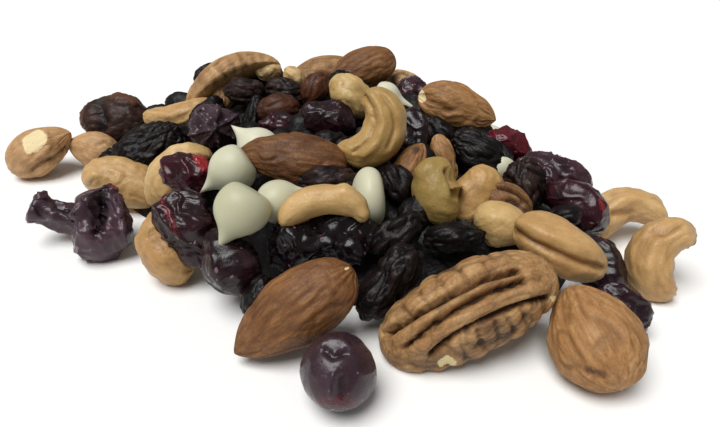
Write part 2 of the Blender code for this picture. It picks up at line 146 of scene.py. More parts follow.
CRANBERRIES = [
    (-43, -17, 7, 80, 0, 0, 15, 12, 11),
    (-54, -14, 7, 165, 5, 0, 14.5, 7, 6),
    (-23, -13, 17, 60, 0, 0, 10.5, 9.5, 8),
    (-19.5, -29, 13, -55, 0, 0, 17, 11.5, 9),
    (-10, -37, 9, 0, 0, 0, 11.5, 12, 11),
    (-20.7, 5, 20.7, 0, 0, 0, 12.5, 11.5, 9.5),
    (-5.5, 8, 20, 0, 0, 0, 11, 7, 6),
    (29.5, 28, 21, 30, 0, 0, 11, 9, 8),
    (7, 7, 22, -20, 0, 0, 15, 8, 8),
    (28.7, 3, 19.7, 80, 0, 0, 11, 8, 8),
    (55, 13, 12.4, -25, 0, 0, 14, 7, 8),
    (60.6, -11, 13.5, -25, 0, 0, 17, 11.5, 10),
    (62.5, -20, 12, -35, 0, 0, 15, 10, 10),
    (64.5, -33, 6, 90, 0, 0, 12, 7, 8),
    (64, -45, 5.3, -45, 0, 0, 12, 8, 7),
    (3.2, -34, 13, 20, 0, 0, 14, 12, 10),
    (12, -33, 14, -20, 0, 0, 13, 11, 9),
    (11.5, -61, 6.3, 0, 0, 0, 12.4, 12.4, 12.4),
]
CHIPS = [
    (21.7, 20, 23.4, -20, 0, 0, 11, 8, 8),
    (-8.6, -5, 19.6, 140, 0, 0, 11.5, 10, 10),
    (-11.8, -18, 21, 216, 0, 0, 12, 10.2, 10.2),
    (-6.8, -35, 21.2, 239, 0, 0, 12.5, 10.5, 10.5),
    (-1.5, -28, 18.4, 20, 0, 0, 10, 9, 9),
    (17.2, -24, 17.3, 185, 0, 0, 8, 12.5, 12.5),
    (49.2, -2, 13.2, 250, 0, 0, 9, 7, 7),
]
TABLES = {
    "almond": ALMONDS, "cashew": CASHEWS, "pecan": PECANS, "raisin": RAISINS, "cranberry": CRANBERRIES,
    "chip": CHIPS,
}

# How dark or strong in colour each visible piece is, from 0 to 1, in the order of the tables
TONES = {
    "almond": [0.10, 0.05, 0.10, 0.70, 0.36, 0.84, 0.50, 0.30, 0.34, 0.74],
    "cashew": [0.36, 0.20, 0.60, 0.40, 0.12, 0.20, 0.24, 0.62, 0.38, 0.95, 0.58, 0.34, 0.46, 0.50, 0.22],
    "pecan": [0.28, 0.40, 0.36, 0.60],
    "raisin": [0.70, 0.20, 0.35, 0.55, 0.45, 0.85, 0.10, 0.95, 0.45, 0.20, 0.05, 0.50, 0.25, 0.20, 0.20, 0.30,
               0.10],
    "cranberry": [0.42, 0.46, 0.54, 0.32, 0.20, 0.34, 0.40, 0.45, 0.30, 0.15, 0.80, 0.42, 0.42, 0.20, 0.30,
                  0.0, 0.0, 0.25],
    "chip": [0.30, 0.20, 0.60, 0.95, 0.70, 0.55, 0.50],
}
# How strongly each visible piece has its second colour: olive on cashews, grey bloom on the dried fruit.
# The kinds that aren't named here have none
SHIFTS = {
    "cashew": [0.35, 0.40, 0.20, 0.25, 0.45, 0.45, 0.70, 0.65, 0.45, 1.00, 0.40, 0.15, 0.0, 0.25, 0.55],
    "raisin": [0.45, 0.30, 0.25, 0.50, 0.40, 0.10, 0.05, 0.05, 0.40, 0.20, 0.05, 0.30, 0.20, 0.10, 0.05, 0.10,
               0.05],
    "cranberry": [0.95, 1.00, 0.15, 0.15, 0.25, 0.85, 0.20, 0.50, 0.25, 0.10, 0.20, 0.55, 0.20, 0.30, 0.35,
                  0.0, 0.0, 0.65],
}

# How deep a piece's creases and wrinkles are beside its kind's own: 0 is smooth, and 1 is usual
WRINKLES = {
    "almond": {0: 0.7, 1: 0.6},
    "cashew": {7: 0.6, 8: 0.4, 9: 0.5, 13: 0.5, 14: 0.5},
    "pecan": {0: 0.4, 1: 0.5, 2: 0.8},
    "raisin": {0: 0.4, 5: 0.6, 7: 0.6, 10: 0.6, 14: 1.4, 15: 1.4, 16: 1.3},
    "cranberry": {4: 0.7, 12: 0.6, 17: 0.13},
}
USUAL_WRINKLES = 1.0
GAP_WRINKLES = 1.3

# Strokes over single pieces: kind, row, what it does, half width in pixels, strength, and the lines that it
# follows in the photograph. A groove or ridge has its depth or height in mm, and a groove also gets painted
# shade; a dark stroke paints shade, and the others colour the skin
STROKES = [
    ("almond", 0, "pale", 5, 1.2, [(29, 149), (27, 141), (38, 134), (43, 139), (35, 148)]),
    ("almond", 0, "ridge", 4, 0.6, [(45, 133), (50, 147), (37, 160)]),
    ("almond", 0, "groove", 3.5, 1.4, [(32, 171), (41, 163), (56, 158), (72, 145)]),
    ("almond", 1, "groove", 2, 0.3, [(97, 146), (106, 142), (113, 146)]),
    ("almond", 4, "groove", 4, 0.6, [(424, 99), (436, 104), (448, 112)]),
    ("almond", 4, "pale", 3.5, 1.2, [(421, 93), (422, 99)]),
    # These dark strokes are painted shade on two almonds
    ("almond", 6, "dark", 6, 0.9, [(416, 150)]),
    ("almond", 8, "dark", 7, 0.7, [(588, 370), (602, 374)]),
    ("almond", 9, "pale", 1.8, 0.9, [(346, 269), (348, 268)]),
    ("cashew", 0, "ridge", 9, 0.8, [(92, 176)]),
    ("cashew", 2, "groove", 3.5, 0.7, [(146, 234), (158, 228), (168, 233)]),
    ("cashew", 2, "ridge", 5, 0.7, [(150, 214), (160, 217)]),
    ("cashew", 7, "ridge", 3.5, 0.6, [(372, 95), (380, 108), (384, 124), (378, 142), (364, 156)]),
    ("cashew", 7, "groove", 2.2, 0.6,
     [(363, 94), (372, 108), (375, 124), (368, 140), (354, 152)],
     [(382, 94), (392, 108), (396, 126), (388, 148)]),
    ("cashew", 7, "ridge", 3.5, 1.2, [(360, 94), (360, 104)]),
    ("cashew", 8, "ridge", 9, 1.4, [(344, 192), (358, 204)]),
    ("cashew", 8, "ridge", 5, 1.3, [(361, 214), (361, 224)]),
    ("cashew", 9, "groove", 3, 1.2, [(447, 171), (452, 182), (456, 196)]),
    ("cashew", 9, "ridge", 7, 1, [(428, 166), (420, 172)]),
    ("cashew", 11, "groove", 4, 0.7, [(612, 214), (630, 214)]),
    ("cashew", 12, "ridge", 9, 1.3, [(680, 232), (690, 246)]),
    ("cashew", 12, "groove", 4, 0.9, [(655, 232), (664, 234), (678, 228)]),
    ("cashew", 13, "groove", 3.5, 1.1, [(510, 228), (530, 242), (556, 253), (580, 263), (604, 269)]),
    ("cashew", 13, "ridge", 5, 0.4, [(520, 222), (545, 234), (570, 243), (596, 254)]),
    ("pecan", 0, "groove", 3.2, 0.32,
     [(197, 77), (207, 90)], [(207, 70), (217, 84)], [(217, 64), (226, 77)], [(229, 59), (236, 72)],
     [(240, 54), (246, 67)], [(251, 51), (256, 64)], [(261, 51), (265, 62)]),
    ("pecan", 2, "ridge", 7, 0.5, [(392, 318), (427, 292), (467, 271), (503, 261)]),
    ("pecan", 2, "groove", 3.2, 2,
     [(386, 334), (418, 313), (453, 294), (483, 279), (517, 271)],
     [(404, 349), (430, 327), (460, 308), (490, 292), (524, 281)]),
    ("pecan", 2, "ridge", 3, 0.5, [(396, 340), (425, 320), (456, 301), (487, 285), (520, 276)]),
    ("pecan", 2, "ridge", 6, 0.7, [(424, 347), (455, 320), (490, 302), (522, 290), (545, 287)]),
    ("pecan", 2, "groove", 3.2, 1.8,
     [(432, 354), (452, 337), (478, 323), (508, 310), (534, 301), (548, 298)]),
    ("pecan", 2, "groove", 3, 0.45, [(460, 340), (466, 358)]),
    ("pecan", 2, "groove", 3.2, 0.60, [(478, 331), (481, 342), (489, 352)]),
    ("pecan", 2, "groove", 2.6, 0.40, [(496, 322), (500, 340)]),
    ("pecan", 2, "groove", 3, 0.50, [(507, 316), (516, 332)]),
    ("pecan", 2, "groove", 2.6, 0.40, [(523, 311), (528, 325)]),
    ("pecan", 2, "groove", 2.2, 0.45,
     [(402, 306), (410, 316)], [(420, 293), (428, 305)], [(440, 281), (448, 293)], [(460, 270), (468, 282)],
     [(480, 260), (490, 272)]),
    ("pecan", 2, "pale", 5.5, 0.75, [(441, 363), (447, 359), (453, 363)]),
    ("pecan", 2, "pale", 3, 0.9, [(554, 298), (556, 303)]),
    ("raisin", 0, "torn", 4, 0.6, [(83, 106), (80, 118), (84, 133)]),
    ("raisin", 0, "torn", 4.5, 0.7, [(112, 97), (124, 99), (136, 104)]),
    ("raisin", 0, "ridge", 6, 1.2, [(118, 98), (134, 102)]),
    ("raisin", 0, "groove", 6, 1, [(100, 108), (104, 122), (98, 134)]),
    ("raisin", 0, "ridge", 5, 0.8, [(128, 112), (138, 124)]),
    ("raisin", 5, "torn", 8, 0.4, [(268, 104), (290, 104)]),
    ("cranberry", 0, "torn", 4, 0.9, [(112, 186), (119, 189), (124, 190)]),
    ("cranberry", 0, "ridge", 5, 2, [(76, 218), (92, 200), (114, 186)]),
    ("cranberry", 0, "groove", 6, 2.2, [(102, 200), (98, 232)]),
    ("cranberry", 0, "ridge", 5, 1.2, [(118, 202), (124, 240)]),
    ("cranberry", 1, "ridge", 6, 2.4, [(36, 216), (44, 200)]),
    ("cranberry", 1, "groove", 5, 1.4, [(56, 204), (66, 208)]),
    ("cranberry", 2, "torn", 7, 1, [(199, 157), (204, 165)]),
    ("cranberry", 3, "torn", 7, 0.42, [(160, 196), (168, 214), (176, 232)]),
    ("cranberry", 5, "ridge", 1.8, 1.3,
     [(192, 134), (216, 128), (234, 138)], [(200, 112), (216, 128), (220, 148)],
     [(218, 108), (216, 128), (204, 144)], [(236, 116), (216, 128)]),
    ("cranberry", 12, "torn", 3.5, 0.6, [(600, 200), (604, 210)]),
    ("cranberry", 17, "groove", 3.5, 0.6, [(325, 350), (333, 357), (345, 353)]),
    ("cranberry", 17, "ridge", 3, 0.6, [(322, 346), (330, 340), (343, 342), (350, 350)]),
    ("cranberry", 17, "ridge", 2.5, 0.5, [(333, 374), (331, 396)]),
    ("cranberry", 17, "groove", 5, 0.5, [(342, 378), (340, 394)]),
    ("cranberry", 17, "torn", 16, 0.36, [(322, 402), (352, 404)]),
]

# The heap's crest from left to right: x, y and height of the pieces' middles. Behind it the heap falls away
CREST = [
    (-72, 28, 6), (-60, 40, 10), (-30, 46, 19), (0, 50, 22), (22, 46, 22), (45, 28, 17), (62, 16, 11),
    (80, -4, 5),
]
BACK_FALL = 0.72
BACK_LOWEST_MIDDLE = 4.6
# Scattered pieces stand on a triangular grid, its rows this share of the pitch apart, and are then shaken
ROW_SHARE = 0.87
LEAN_LIMIT = 12
SPIN_LIMIT = 25
LAST_PHASE = 6.0
PHASE_STEP = 1.7
HIDDEN_PITCH = 9.5
HIDDEN_JITTER = 1.5
HIDDEN_SPACING = 8.4
HIDDEN_SEED = 11
HIDDEN_SCALES = (0.88, 1.08)
FIRST_HIDDEN_ROW = 100
GAP_CORE_DROP = 2.0
GAP_HEIGHT = 1.5
GAP_REACH = 0.8
GAP_TONE = 0.1
BACK_REACH = 0.97
BACK_TONES = (0.2, 0.6)
BACK_SHIFTS = (0.1, 0.6)
HIDDEN_KINDS = [
    ("almond", 3, (22.0, 12.5, 8.5)),
    ("cashew", 4, (20.0, 9.5, 9.5, 60)),
    ("pecan", 1, (28.0, 14.0, 9.0, 2.0)),
    ("raisin", 5, (14.0, 9.5, 8.0, 0.0)),
    ("cranberry", 4, (14.5, 10.5, 8.5, 0.0)),
    ("chip", 2, (11.5, 10.0, 10.0)),
]
GAP_KIND = ("raisin", 1, (11.0, 8.0, 7.0, 0.0))
# Pieces in the gaps and at the back lie this much deeper than in the solid, so that no gap is filled up
GAP_SINK = 3.0
BACK_SINK = 2.0
# Rows of the hidden pieces that would still look over the crest, and how much deeper they lie
LOWERED = {102: 7.0, 107: 7.0, 110: 8.0, 111: 5.0, 115: 4.0, 118: 8.0, 121: 5.0}
# Small pieces fill what is left between the others; the dark ones belong to the core and take its almost
# black painted shade
FILLER_KINDS = [
    ("raisin", 4, (10.5, 7.8, 6.8, 0.0)),
    ("almond", 2, (14.0, 8.5, 6.5)),
    ("cashew", 2, (13.0, 7.0, 7.0, 60)),
]
FILLER_SEED = 23
FILLER_PITCH = 7.4
FILLER_JITTER = 1.2
FILLER_SPACING = 6.4
FILLER_SCALES = (0.85, 1.1)
FIRST_FILLER_ROW = 200
FILLER_TONE = 0.3
FILLER_TONE_STEP = 0.05
FILLER_SHIFT = 0.2
FILLER_SINK = 2.6
FILLER_BELOW_CREST = 5.0
FILLER_FACE_SIZE = 0.8

# The core's foot round its middle, and how it lies under the pieces
CORE_MIDDLE = (5.0, 5.0)
CORE_FOOT = [
    (78, -12), (70, -30), (60, -44), (34, -43), (8, -43), (-8, -32), (-22, -22), (-42, -8), (-60, 12),
    (-74, 20), (-68, 30), (-50, 48), (-30, 64), (0, 72), (25, 66), (48, 44), (64, 26), (76, 6),
]
CORE_REACH = 8.0
CORE_LEAST_HEIGHT = 1.6
CORE_RIM_POWER = 8
CORE_INSET = 0.87
CORE_RINGS = 90
CORE_SIDES = 330
CORE_TONE = 0.1

# Size of a mesh face on a visible piece of each kind; pieces on the back and in the gaps have larger ones
FACE_SIZE = {"almond": 0.36, "cashew": 0.39, "pecan": 0.24, "raisin": 0.32, "cranberry": 0.31, "chip": 0.36}
BACK_FACE_SIZE = 0.70
GAP_FACE_SIZE = 0.55
# A grid's rings and sides for each face size along a piece's length and round it, and the fewest of each
RINGS_SHARE = 1.25
SIDES_SHARE = 1.57
LEAST_RINGS = 10
LEAST_SIDES = 12
LATTICE = 32
NOISE_GAIN = 1.6
# How much painted shade a groove gets, how sharply its dark middle ends, and the most painted shade that a
# crease gets
STROKE_CREASE = 0.9
STROKE_SHARPNESS = 1.5
MOST_CREASE = 1.5
# Noise patterns start at a place that follows from the row, and come round again after this many rows
PATTERN_ROWS = 37
GRAIN_STEP = 13.0
FRONT_PECAN = 2
FACETS = 14

# The stage: how the overhead light is turned, and how near the camera still sees
KEY_TURN = (14, -16, 0)
CLIP_START = 0.005
PAPER_ROUGHNESS = 0.9
PAPER_GLOSS = 0.1
NO_TINT = (1.0, 1.0, 1.0)


def rotation(axis, degrees):
    """The 3 x 3 matrix of a turn about the x, y or z axis."""
    c = math.cos(math.radians(degrees))
    s = math.sin(math.radians(degrees))
    if axis == "x":
        return np.array([[1, 0, 0], [0, c, -s], [0, s, c]])
    if axis == "y":
        return np.array([[c, 0, s], [0, 1, 0], [-s, 0, c]])
    return np.array([[c, -s, 0], [s, c, 0], [0, 0, 1]])


def pose(plane_lean, heading, lean, spin):
    """A rotation: spun about the long axis, the far end raised by lean, then headed in the leaning plane."""
    return rotation("x", plane_lean) @ rotation("z", heading) @ rotation("y", -lean) @ rotation("x", spin)


def visible_pieces():
    """Every listed piece as a dictionary of its kind, row, place, rotation and sizes."""
    pieces = []
    for kind, rows in TABLES.items():
        for number, row in enumerate(rows):
            sizes = list(row[6:])
            if kind in ("raisin", "cranberry"):
                sizes.append(PHASE_STEP * number)
            pieces.append({
                "kind": kind, "row": number, "place": np.array(row[:3]), "sizes": sizes,
                "turned": pose(FRONT_PLANE_LEAN, *row[3:6]), "tone": TONES[kind][number],
                "shift": SHIFTS[kind][number] if kind in SHIFTS else 0.0, "face": FACE_SIZE[kind],
                "wrinkles": WRINKLES.get(kind, {}).get(number, USUAL_WRINKLES), "sink": 0.0})
    return pieces


def core_radius(angles):
    """Distance of the core's foot from its middle in each direction."""
    foot = np.array(CORE_FOOT, float) - CORE_MIDDLE
    bearing = np.arctan2(foot[:, 1], foot[:, 0])
    order = np.argsort(bearing)
    reach = np.hypot(foot[:, 0], foot[:, 1])[order]
    return np.interp(angles, bearing[order], reach, period=2 * math.pi)


def core_height(x, y, pieces, drop, least):
    """Height of the core under each point: the nearby pieces' middles, averaged, less a fixed drop."""
    places = np.array([piece["place"] for piece in pieces])
    apart = (x[:, None] - places[None, :, 0]) ** 2 + (y[:, None] - places[None, :, 1]) ** 2
    weight = np.exp(-apart / (2 * CORE_REACH ** 2)) + 1e-9
    return np.maximum((weight * places[None, :, 2]).sum(1) / weight.sum(1) - drop, least)


def hidden_place(x, y, visible):
    """A hidden piece's middle over (x, y), None if off the heap, and whether it is behind the crest."""
    crest_x, crest_y, crest_z = zip(*CREST)
    behind = y - np.interp(x, crest_x, crest_y)
    outward = math.hypot(x - CORE_MIDDLE[0], y - CORE_MIDDLE[1])
    share = outward / core_radius(math.atan2(y - CORE_MIDDLE[1], x - CORE_MIDDLE[0]))
    if behind > 0 and share < BACK_REACH:
        height = max(np.interp(x, crest_x, crest_z) - BACK_FALL * behind, BACK_LOWEST_MIDDLE)
        return np.array([x, y, height]), True
    if behind <= 0 and share < GAP_REACH:
        height = core_height(np.array([x]), np.array([y]), visible, GAP_CORE_DROP, GAP_CORE_DROP)[0]
        return np.array([x, y, height + GAP_HEIGHT]), False
    return None, False


def scattered(seed, pitch, jitter, scales, kinds, gap_kind, visible):
    """Pieces all over the foot, each with whether it is behind the crest, its unshaken x, and its phase.

    Every place takes the same draws in the same order, whether or not a piece is left standing there.
    """
    draw = random.Random(seed)
    (left, front), (right, back) = np.min(CORE_FOOT, axis=0), np.max(CORE_FOOT, axis=0)
    for row, y in enumerate(np.arange(front, back, ROW_SHARE * pitch)):
        for x in np.arange(left + (row % 2) * pitch / 2, right, pitch):
            shaken = [value + draw.uniform(-jitter, jitter) for value in (x, y)]
            kind, _, usual = draw.choices(kinds, [share for _, share, _ in kinds])[0]
            scale = draw.uniform(*scales)
            phase = draw.uniform(0, LAST_PHASE)
            angles = [draw.uniform(0, 360)]
            angles += [draw.uniform(-limit, limit) for limit in (LEAN_LIMIT, SPIN_LIMIT)]
            place, behind = hidden_place(*shaken, visible)
            if place is None:
                continue
            if not behind:
                kind, _, usual = gap_kind
            sizes = [scale * size for size in usual[:3]] + list(usual[3:])
            if kind in ("raisin", "cranberry"):
                sizes[3] = phase
            turned = pose(BACK_PLANE_LEAN if behind else FRONT_PLANE_LEAN, *angles)
            yield {"kind": kind, "place": place, "sizes": sizes, "turned": turned}, behind, x, phase


def too_near(piece, others, spacing):
    """Whether a piece's middle is within the spacing of another's."""
    return min(np.linalg.norm(piece["place"] - other["place"]) for other in others) < spacing


def hidden_pieces(visible):
    """Pieces in the gaps and all down the heap's back, as visible_pieces gives them."""
    look = random.Random(HIDDEN_SEED + 1)
    pieces = []
    for piece, behind, _, _ in scattered(
            HIDDEN_SEED, HIDDEN_PITCH, HIDDEN_JITTER, HIDDEN_SCALES, HIDDEN_KINDS, GAP_KIND, visible):
        if too_near(piece, visible + pieces, HIDDEN_SPACING):
            continue
        row = FIRST_HIDDEN_ROW + len(pieces)
        piece.update(
            row=row, tone=look.uniform(*BACK_TONES) if behind else GAP_TONE,
            shift=look.uniform(*BACK_SHIFTS) if behind else GAP_TONE,
            face=BACK_FACE_SIZE if behind else GAP_FACE_SIZE,
            wrinkles=USUAL_WRINKLES if behind else GAP_WRINKLES,
            sink=LOWERED.get(row, BACK_SINK if behind else GAP_SINK))
        pieces.append(piece)
    return pieces


def filler_pieces(others):
    """Small pieces in the gaps that the others leave: raisins before the crest, any kind behind it."""
    visible = others[:sum(len(rows) for rows in TABLES.values())]
    crest_x, _, crest_z = zip(*CREST)
    pieces = []
    for piece, behind, x, phase in scattered(
            FILLER_SEED, FILLER_PITCH, FILLER_JITTER, FILLER_SCALES, FILLER_KINDS, FILLER_KINDS[0], visible):
        if behind and piece["place"][2] > np.interp(x, crest_x, crest_z) - FILLER_BELOW_CREST:
            continue
        if too_near(piece, others + pieces, FILLER_SPACING):
            continue
        piece.update(
            kind="core" if piece["kind"] == "raisin" else piece["kind"], row=FIRST_FILLER_ROW + len(pieces),
            tone=FILLER_TONE + FILLER_TONE_STEP * phase, shift=FILLER_SHIFT, face=FILLER_FACE_SIZE,
            wrinkles=USUAL_WRINKLES, sink=FILLER_SINK)
        pieces.append(piece)
    return pieces


def all_pieces():
    """Visible, hidden and filling pieces, in that order."""
    pieces = visible_pieces()
    pieces += hidden_pieces(pieces)
    return pieces + filler_pieces(pieces)


def lattice_noise(points, seed):
    """Smooth noise of about -1 to 1: random slopes at whole-number points, blended between them.

    Each noise has a seed of its own, so that no two of them share a pattern.
    """
    shape = points.shape[:-1]
    points = points.reshape(-1, 3)
    slopes = np.random.default_rng(seed).normal(size=(LATTICE, LATTICE, LATTICE, 3))
    slopes /= np.linalg.norm(slopes, axis=-1, keepdims=True)
    cell = np.floor(points).astype(int)
    part = points - cell
    ease = part ** 3 * (part * (6 * part - 15) + 10)
    total = np.zeros(len(points))
    for corner in itertools.product((0, 1), repeat=3):
        index = (cell + corner) % LATTICE
        weight = np.prod(np.where(corner, ease, 1 - ease), axis=1)
        slope = slopes[index[:, 0], index[:, 1], index[:, 2]]
        total += weight * np.einsum("ij,ij->i", slope, part - corner)
    return NOISE_GAIN * total.reshape(shape)


def ball_grid(length, width, thickness, face):
    """Cosine along the length, sine, and direction round it, on a grid from the +x pole to the -x pole."""
    rings = max(LEAST_RINGS, round(RINGS_SHARE * length / face))
    sides = max(LEAST_SIDES, round(SIDES_SHARE * (width + thickness) / face))
    theta = np.linspace(0, math.pi, rings + 1)[:, None]
    phi = np.arange(sides)[None, :] * 2 * math.pi / sides
    along = np.cos(theta) * np.ones_like(phi)
    sine = np.sin(theta) * np.ones_like(phi)
    return along, sine, np.cos(phi) * np.ones_like(theta), np.sin(phi) * np.ones_like(theta)


def almond_form(ball, length, width, thickness):
    """A flattened teardrop, pointed at +x and blunt at the other end."""
    along, _, across, up = ball
    widest = -0.18
    blunt, pointed = 0.5, 0.72
    swell = np.maximum(1 + along, 0) ** blunt * np.maximum(1 - along, 0) ** pointed
    swell = swell / ((1 + widest) ** blunt * (1 - widest) ** pointed)
    return np.stack([length / 2 * along, width / 2 * swell * across, thickness / 2 * swell * up], -1)


def cashew_form(ball, length, width, thickness, bend):
    """A capsule carried round an arc in the xy plane that bulges to +y; its +x end is a little thinner."""
    along, _, across, up = ball
    fullness, thinner, end_share = 2.4, 0.10, 0.32
    swell = np.maximum(1 - np.abs(along) ** fullness, 0) ** 0.5 * (1 - thinner * along)
    half_angle = math.radians(bend)
    radius = (length / 2 - end_share * width) / math.sin(min(half_angle, math.pi / 2))
    angle = half_angle * along
    out = radius + width / 2 * swell * across
    middle = radius * (1 + math.cos(half_angle)) / 2
    return np.stack([out * np.sin(angle), out * np.cos(angle) - middle, thickness / 2 * swell * up], -1)


def pecan_form(ball, length, width, thickness, droop):
    """Half a pecan: flat below and arched above, its ends drooping; its furrows come with the relief."""
    along, sine, across, up = ball
    fullness, arch, belly = 0.8, 0.70, 0.28
    swell = np.maximum(sine, 0) ** fullness
    height = thickness * swell * up * np.where(up > 0, arch, belly)
    return np.stack([length / 2 * along, width / 2 * swell * across, height - droop * along ** 2], -1)


def lump_form(ball, length, width, thickness, phase):
    """A dried fruit: an egg shape with slow swellings, whose places follow from the phase."""
    along, sine, across, up = ball
    swelling = 0.07
    swell = 1 + swelling * (np.sin(2.6 * sine * across + phase) + np.sin(3.1 * sine * up + 2.1 * phase))
    return np.stack([
        length / 2 * along, width / 2 * sine * across * swell, thickness / 2 * sine * up * swell], -1)


def chip_form(ball, length, width, thickness):
    """A drop with a narrow tip at +x and a flat foot with a soft edge; a short one has no tip."""
    along, _, across, up = ball
    angle = np.arccos(np.clip(along, -1, 1))
    tip_from, tip_height, tip_angle = 1.75, 1.3, 0.18
    reach = 2 * length / width - tip_from
    radius = width / 2 * (1 + tip_height * max(reach, 0) * np.exp(-angle / tip_angle))
    squeeze = min(1 + 0.8 * reach, 1)
    foot = -0.375 * width * squeeze
    softness = 0.05 * width
    x = foot + softness * np.logaddexp(0, (squeeze * radius * np.cos(angle) - foot) / softness)
    return np.stack([
        x, radius * np.sin(angle) * across, radius * np.sin(angle) * up * thickness / width], -1)


# In the reliefs the number that divides the points is a pattern's size in mm, the one before a term is its
# height in mm, and a multiple of the piece's number moves the pattern, so that no two pieces are alike.
# Each relief also returns painted shade: a mask that darkens its creases, valleys and hollows


def crease_of(noise, width):
    """Narrow lines where a noise passes through zero: one on the line, falling off on both sides."""
    return np.exp(-(noise / width) ** 2)


def almond_relief(ball, points, number):
    """Shallow creases that run lengthwise and waver, over slow swellings; they fade at the two ends."""
    _, sine, across, up = ball
    length = points[..., 0].max()
    meridian = np.stack([points[..., 0] / length * 1.3, 2.3 * across, 2.3 * up], -1) + 5.3 * number
    wander = lattice_noise(points / 4.5 + number, 21)
    lines = lattice_noise(meridian + 0.4 * wander[..., None], 22)
    fine = lattice_noise(2.2 * meridian + 0.6 * wander[..., None] + 9, 23)
    crease = crease_of(lines, 0.2)
    fine_crease = crease_of(fine, 0.24)
    fade = np.sqrt(np.maximum(sine, 0))
    swelling = lattice_noise(points / 4.5 + 3, 24)
    height = fade * (0.35 * swelling + 0.16 * lines - 0.30 * crease - 0.16 * fine_crease)
    # The second value is painted shade along the creases
    return height, 0.8 * fade * crease + 0.4 * fade * fine_crease


def cashew_relief(ball, points, number):
    """Lengthwise ribs, slow dimples and small pebbles on a satin kernel."""
    along, sine, across, up = ball
    wander = lattice_noise(points / 5.0 + 1.7 * number, 34)
    ribs = lattice_noise(
        np.stack([1.3 * along, 2.2 * across, 2.2 * up], -1) + 4.1 * number + 0.3 * wander[..., None], 31)
    dimples = lattice_noise(points / 3.0 + 2.7 * number, 32)
    pebbles = lattice_noise(points / 1.15 + 1.3 * number, 33)
    fade = np.sqrt(np.maximum(sine, 0))
    rib_crease = crease_of(ribs, 0.12)
    height = fade * (0.45 * ribs + 0.36 * dimples - 0.16 * rib_crease) + 0.12 * pebbles
    # The second value is painted shade in the rib creases and the low dimples
    return height, fade * (0.35 * rib_crease + 0.5 * np.clip(-0.9 * dimples - 0.6 * ribs, 0, 1))


def pecan_relief(ball, points, number):
    """Two deep furrows beside a middle ridge, broad crosswise wrinkles on the flanks, and slow swellings.

    The large half in front has its own furrows as strokes.
    """
    _, sine, across, up = ball
    wander = lattice_noise(points / 5.0 + 3.1 * number, 41)
    pitch = 4.2 if number == FRONT_PECAN else 2.9
    cross = lattice_noise(np.stack([
        points[..., 0] / pitch + 0.5 * wander, points[..., 1] / 9.0, points[..., 2] / 9.0], -1) + number, 42)
    lengthwise = lattice_noise(np.stack([
        points[..., 0] / 11.0, points[..., 1] / 1.6 + 0.4 * wander, points[..., 2] / 1.6], -1) + 7, 43)
    fine = lattice_noise(points / 1.0 + number, 44)
    flank = np.clip(np.abs(across) * 1.9 - 0.55, 0.1, 1)
    fade = np.sqrt(np.maximum(sine, 0))
    furrow = crease_of(np.abs(across + 0.07 * wander) - 0.42, 0.11) * (up > 0) * (number != FRONT_PECAN)
    cross_crease = crease_of(cross, 0.22) * flank
    length_crease = crease_of(lengthwise, 0.13)
    height = fade * (
        0.30 * wander + 0.30 * flank * cross - 0.50 * cross_crease - 0.16 * length_crease - 1.5 * furrow)
    # The second value is painted shade in the crosswise and lengthwise creases and in the furrows
    return height + 0.05 * fine, fade * (0.8 * cross_crease + 0.45 * length_crease + 0.9 * furrow)


def raisin_relief(ball, points, number):
    """Rounded folds with sharp valleys, longer along the fruit than across it, in three sizes."""
    width = np.ptp(points[..., 1])
    wander = lattice_noise(points / 5.0 + 2.3 * number, 51)
    base = points / (7.0, 2.3, 2.3) + 3.7 * number
    folds = np.abs(lattice_noise(base + 0.5 * wander[..., None], 52))
    small = np.abs(lattice_noise(2.1 * base + 0.7 * wander[..., None] + 5, 53))
    tiny = np.abs(lattice_noise(points / 0.7 + number, 54))
    deep = np.clip(width / 11.0, 0.65, 1.0)
    slow = lattice_noise(points / 7.0 + 1.1 * number, 55)
    height = deep * (1.15 * (folds ** 0.8 - 0.3) + 0.75 * (small ** 0.8 - 0.3) + 0.10 * tiny + 1.1 * slow)
    # The second value is painted shade in the sharp valleys of the folds
    return height, np.clip(1.1 - 5.0 * folds, 0, 1) + 0.6 * np.clip(1 - 5.0 * small, 0, 1)


def cranberry_relief(ball, points, number):
    """Collapsed skin: hollow facets with rounded edges, narrow winding walls, and small wrinkles in places.

    Each point belongs mostly to the nearest of a few random directions, and the skin lies deepest under that
    direction.
    """
    along, sine, across, up = ball
    half_width = np.ptp(points[..., 1]) / 2
    deep = np.clip(half_width / 6.0, 0.55, 1.0)
    wander = lattice_noise(points / 4.0 + 1.9 * number, 61)
    middles = np.random.default_rng(600 + number).normal(size=(FACETS, 3))
    middles /= np.linalg.norm(middles, axis=-1, keepdims=True)
    bend = np.stack([wander, lattice_noise(points / 4.0 + 5.1 + number, 62), -wander], -1)
    towards = np.stack([along, sine * across, sine * up], -1) + 0.22 * bend
    towards = towards / np.linalg.norm(towards, axis=-1, keepdims=True)
    nearness = np.log(np.exp(16 * (towards @ middles.T)).sum(-1)) / 16
    facet = 1 / np.clip(nearness, 0.65, 1) - 1.12
    walls = crease_of(lattice_noise(points / 4.2 + 0.35 * bend + 2.9 * number, 64), 0.15)
    where = np.clip(0.6 + 1.5 * lattice_noise(points / 6.0 + number, 66), 0, 1)
    small = crease_of(lattice_noise(points / 2.2 + 0.3 * bend + number, 63), 0.16) * where
    slow = lattice_noise(points / 6.5 + 1.1 * number, 65)
    height = half_width * (0.85 * facet - 0.02) + deep * (1.0 * slow + 0.55 * (walls - 0.3) + 0.30 * small)
    # The second value is painted shade in the hollow facets, away from the walls and small wrinkles
    return height, 0.6 * (1 - walls) * (1 - small) * np.clip(1.0 - 3 * (facet + 0.12), 0.15, 1)


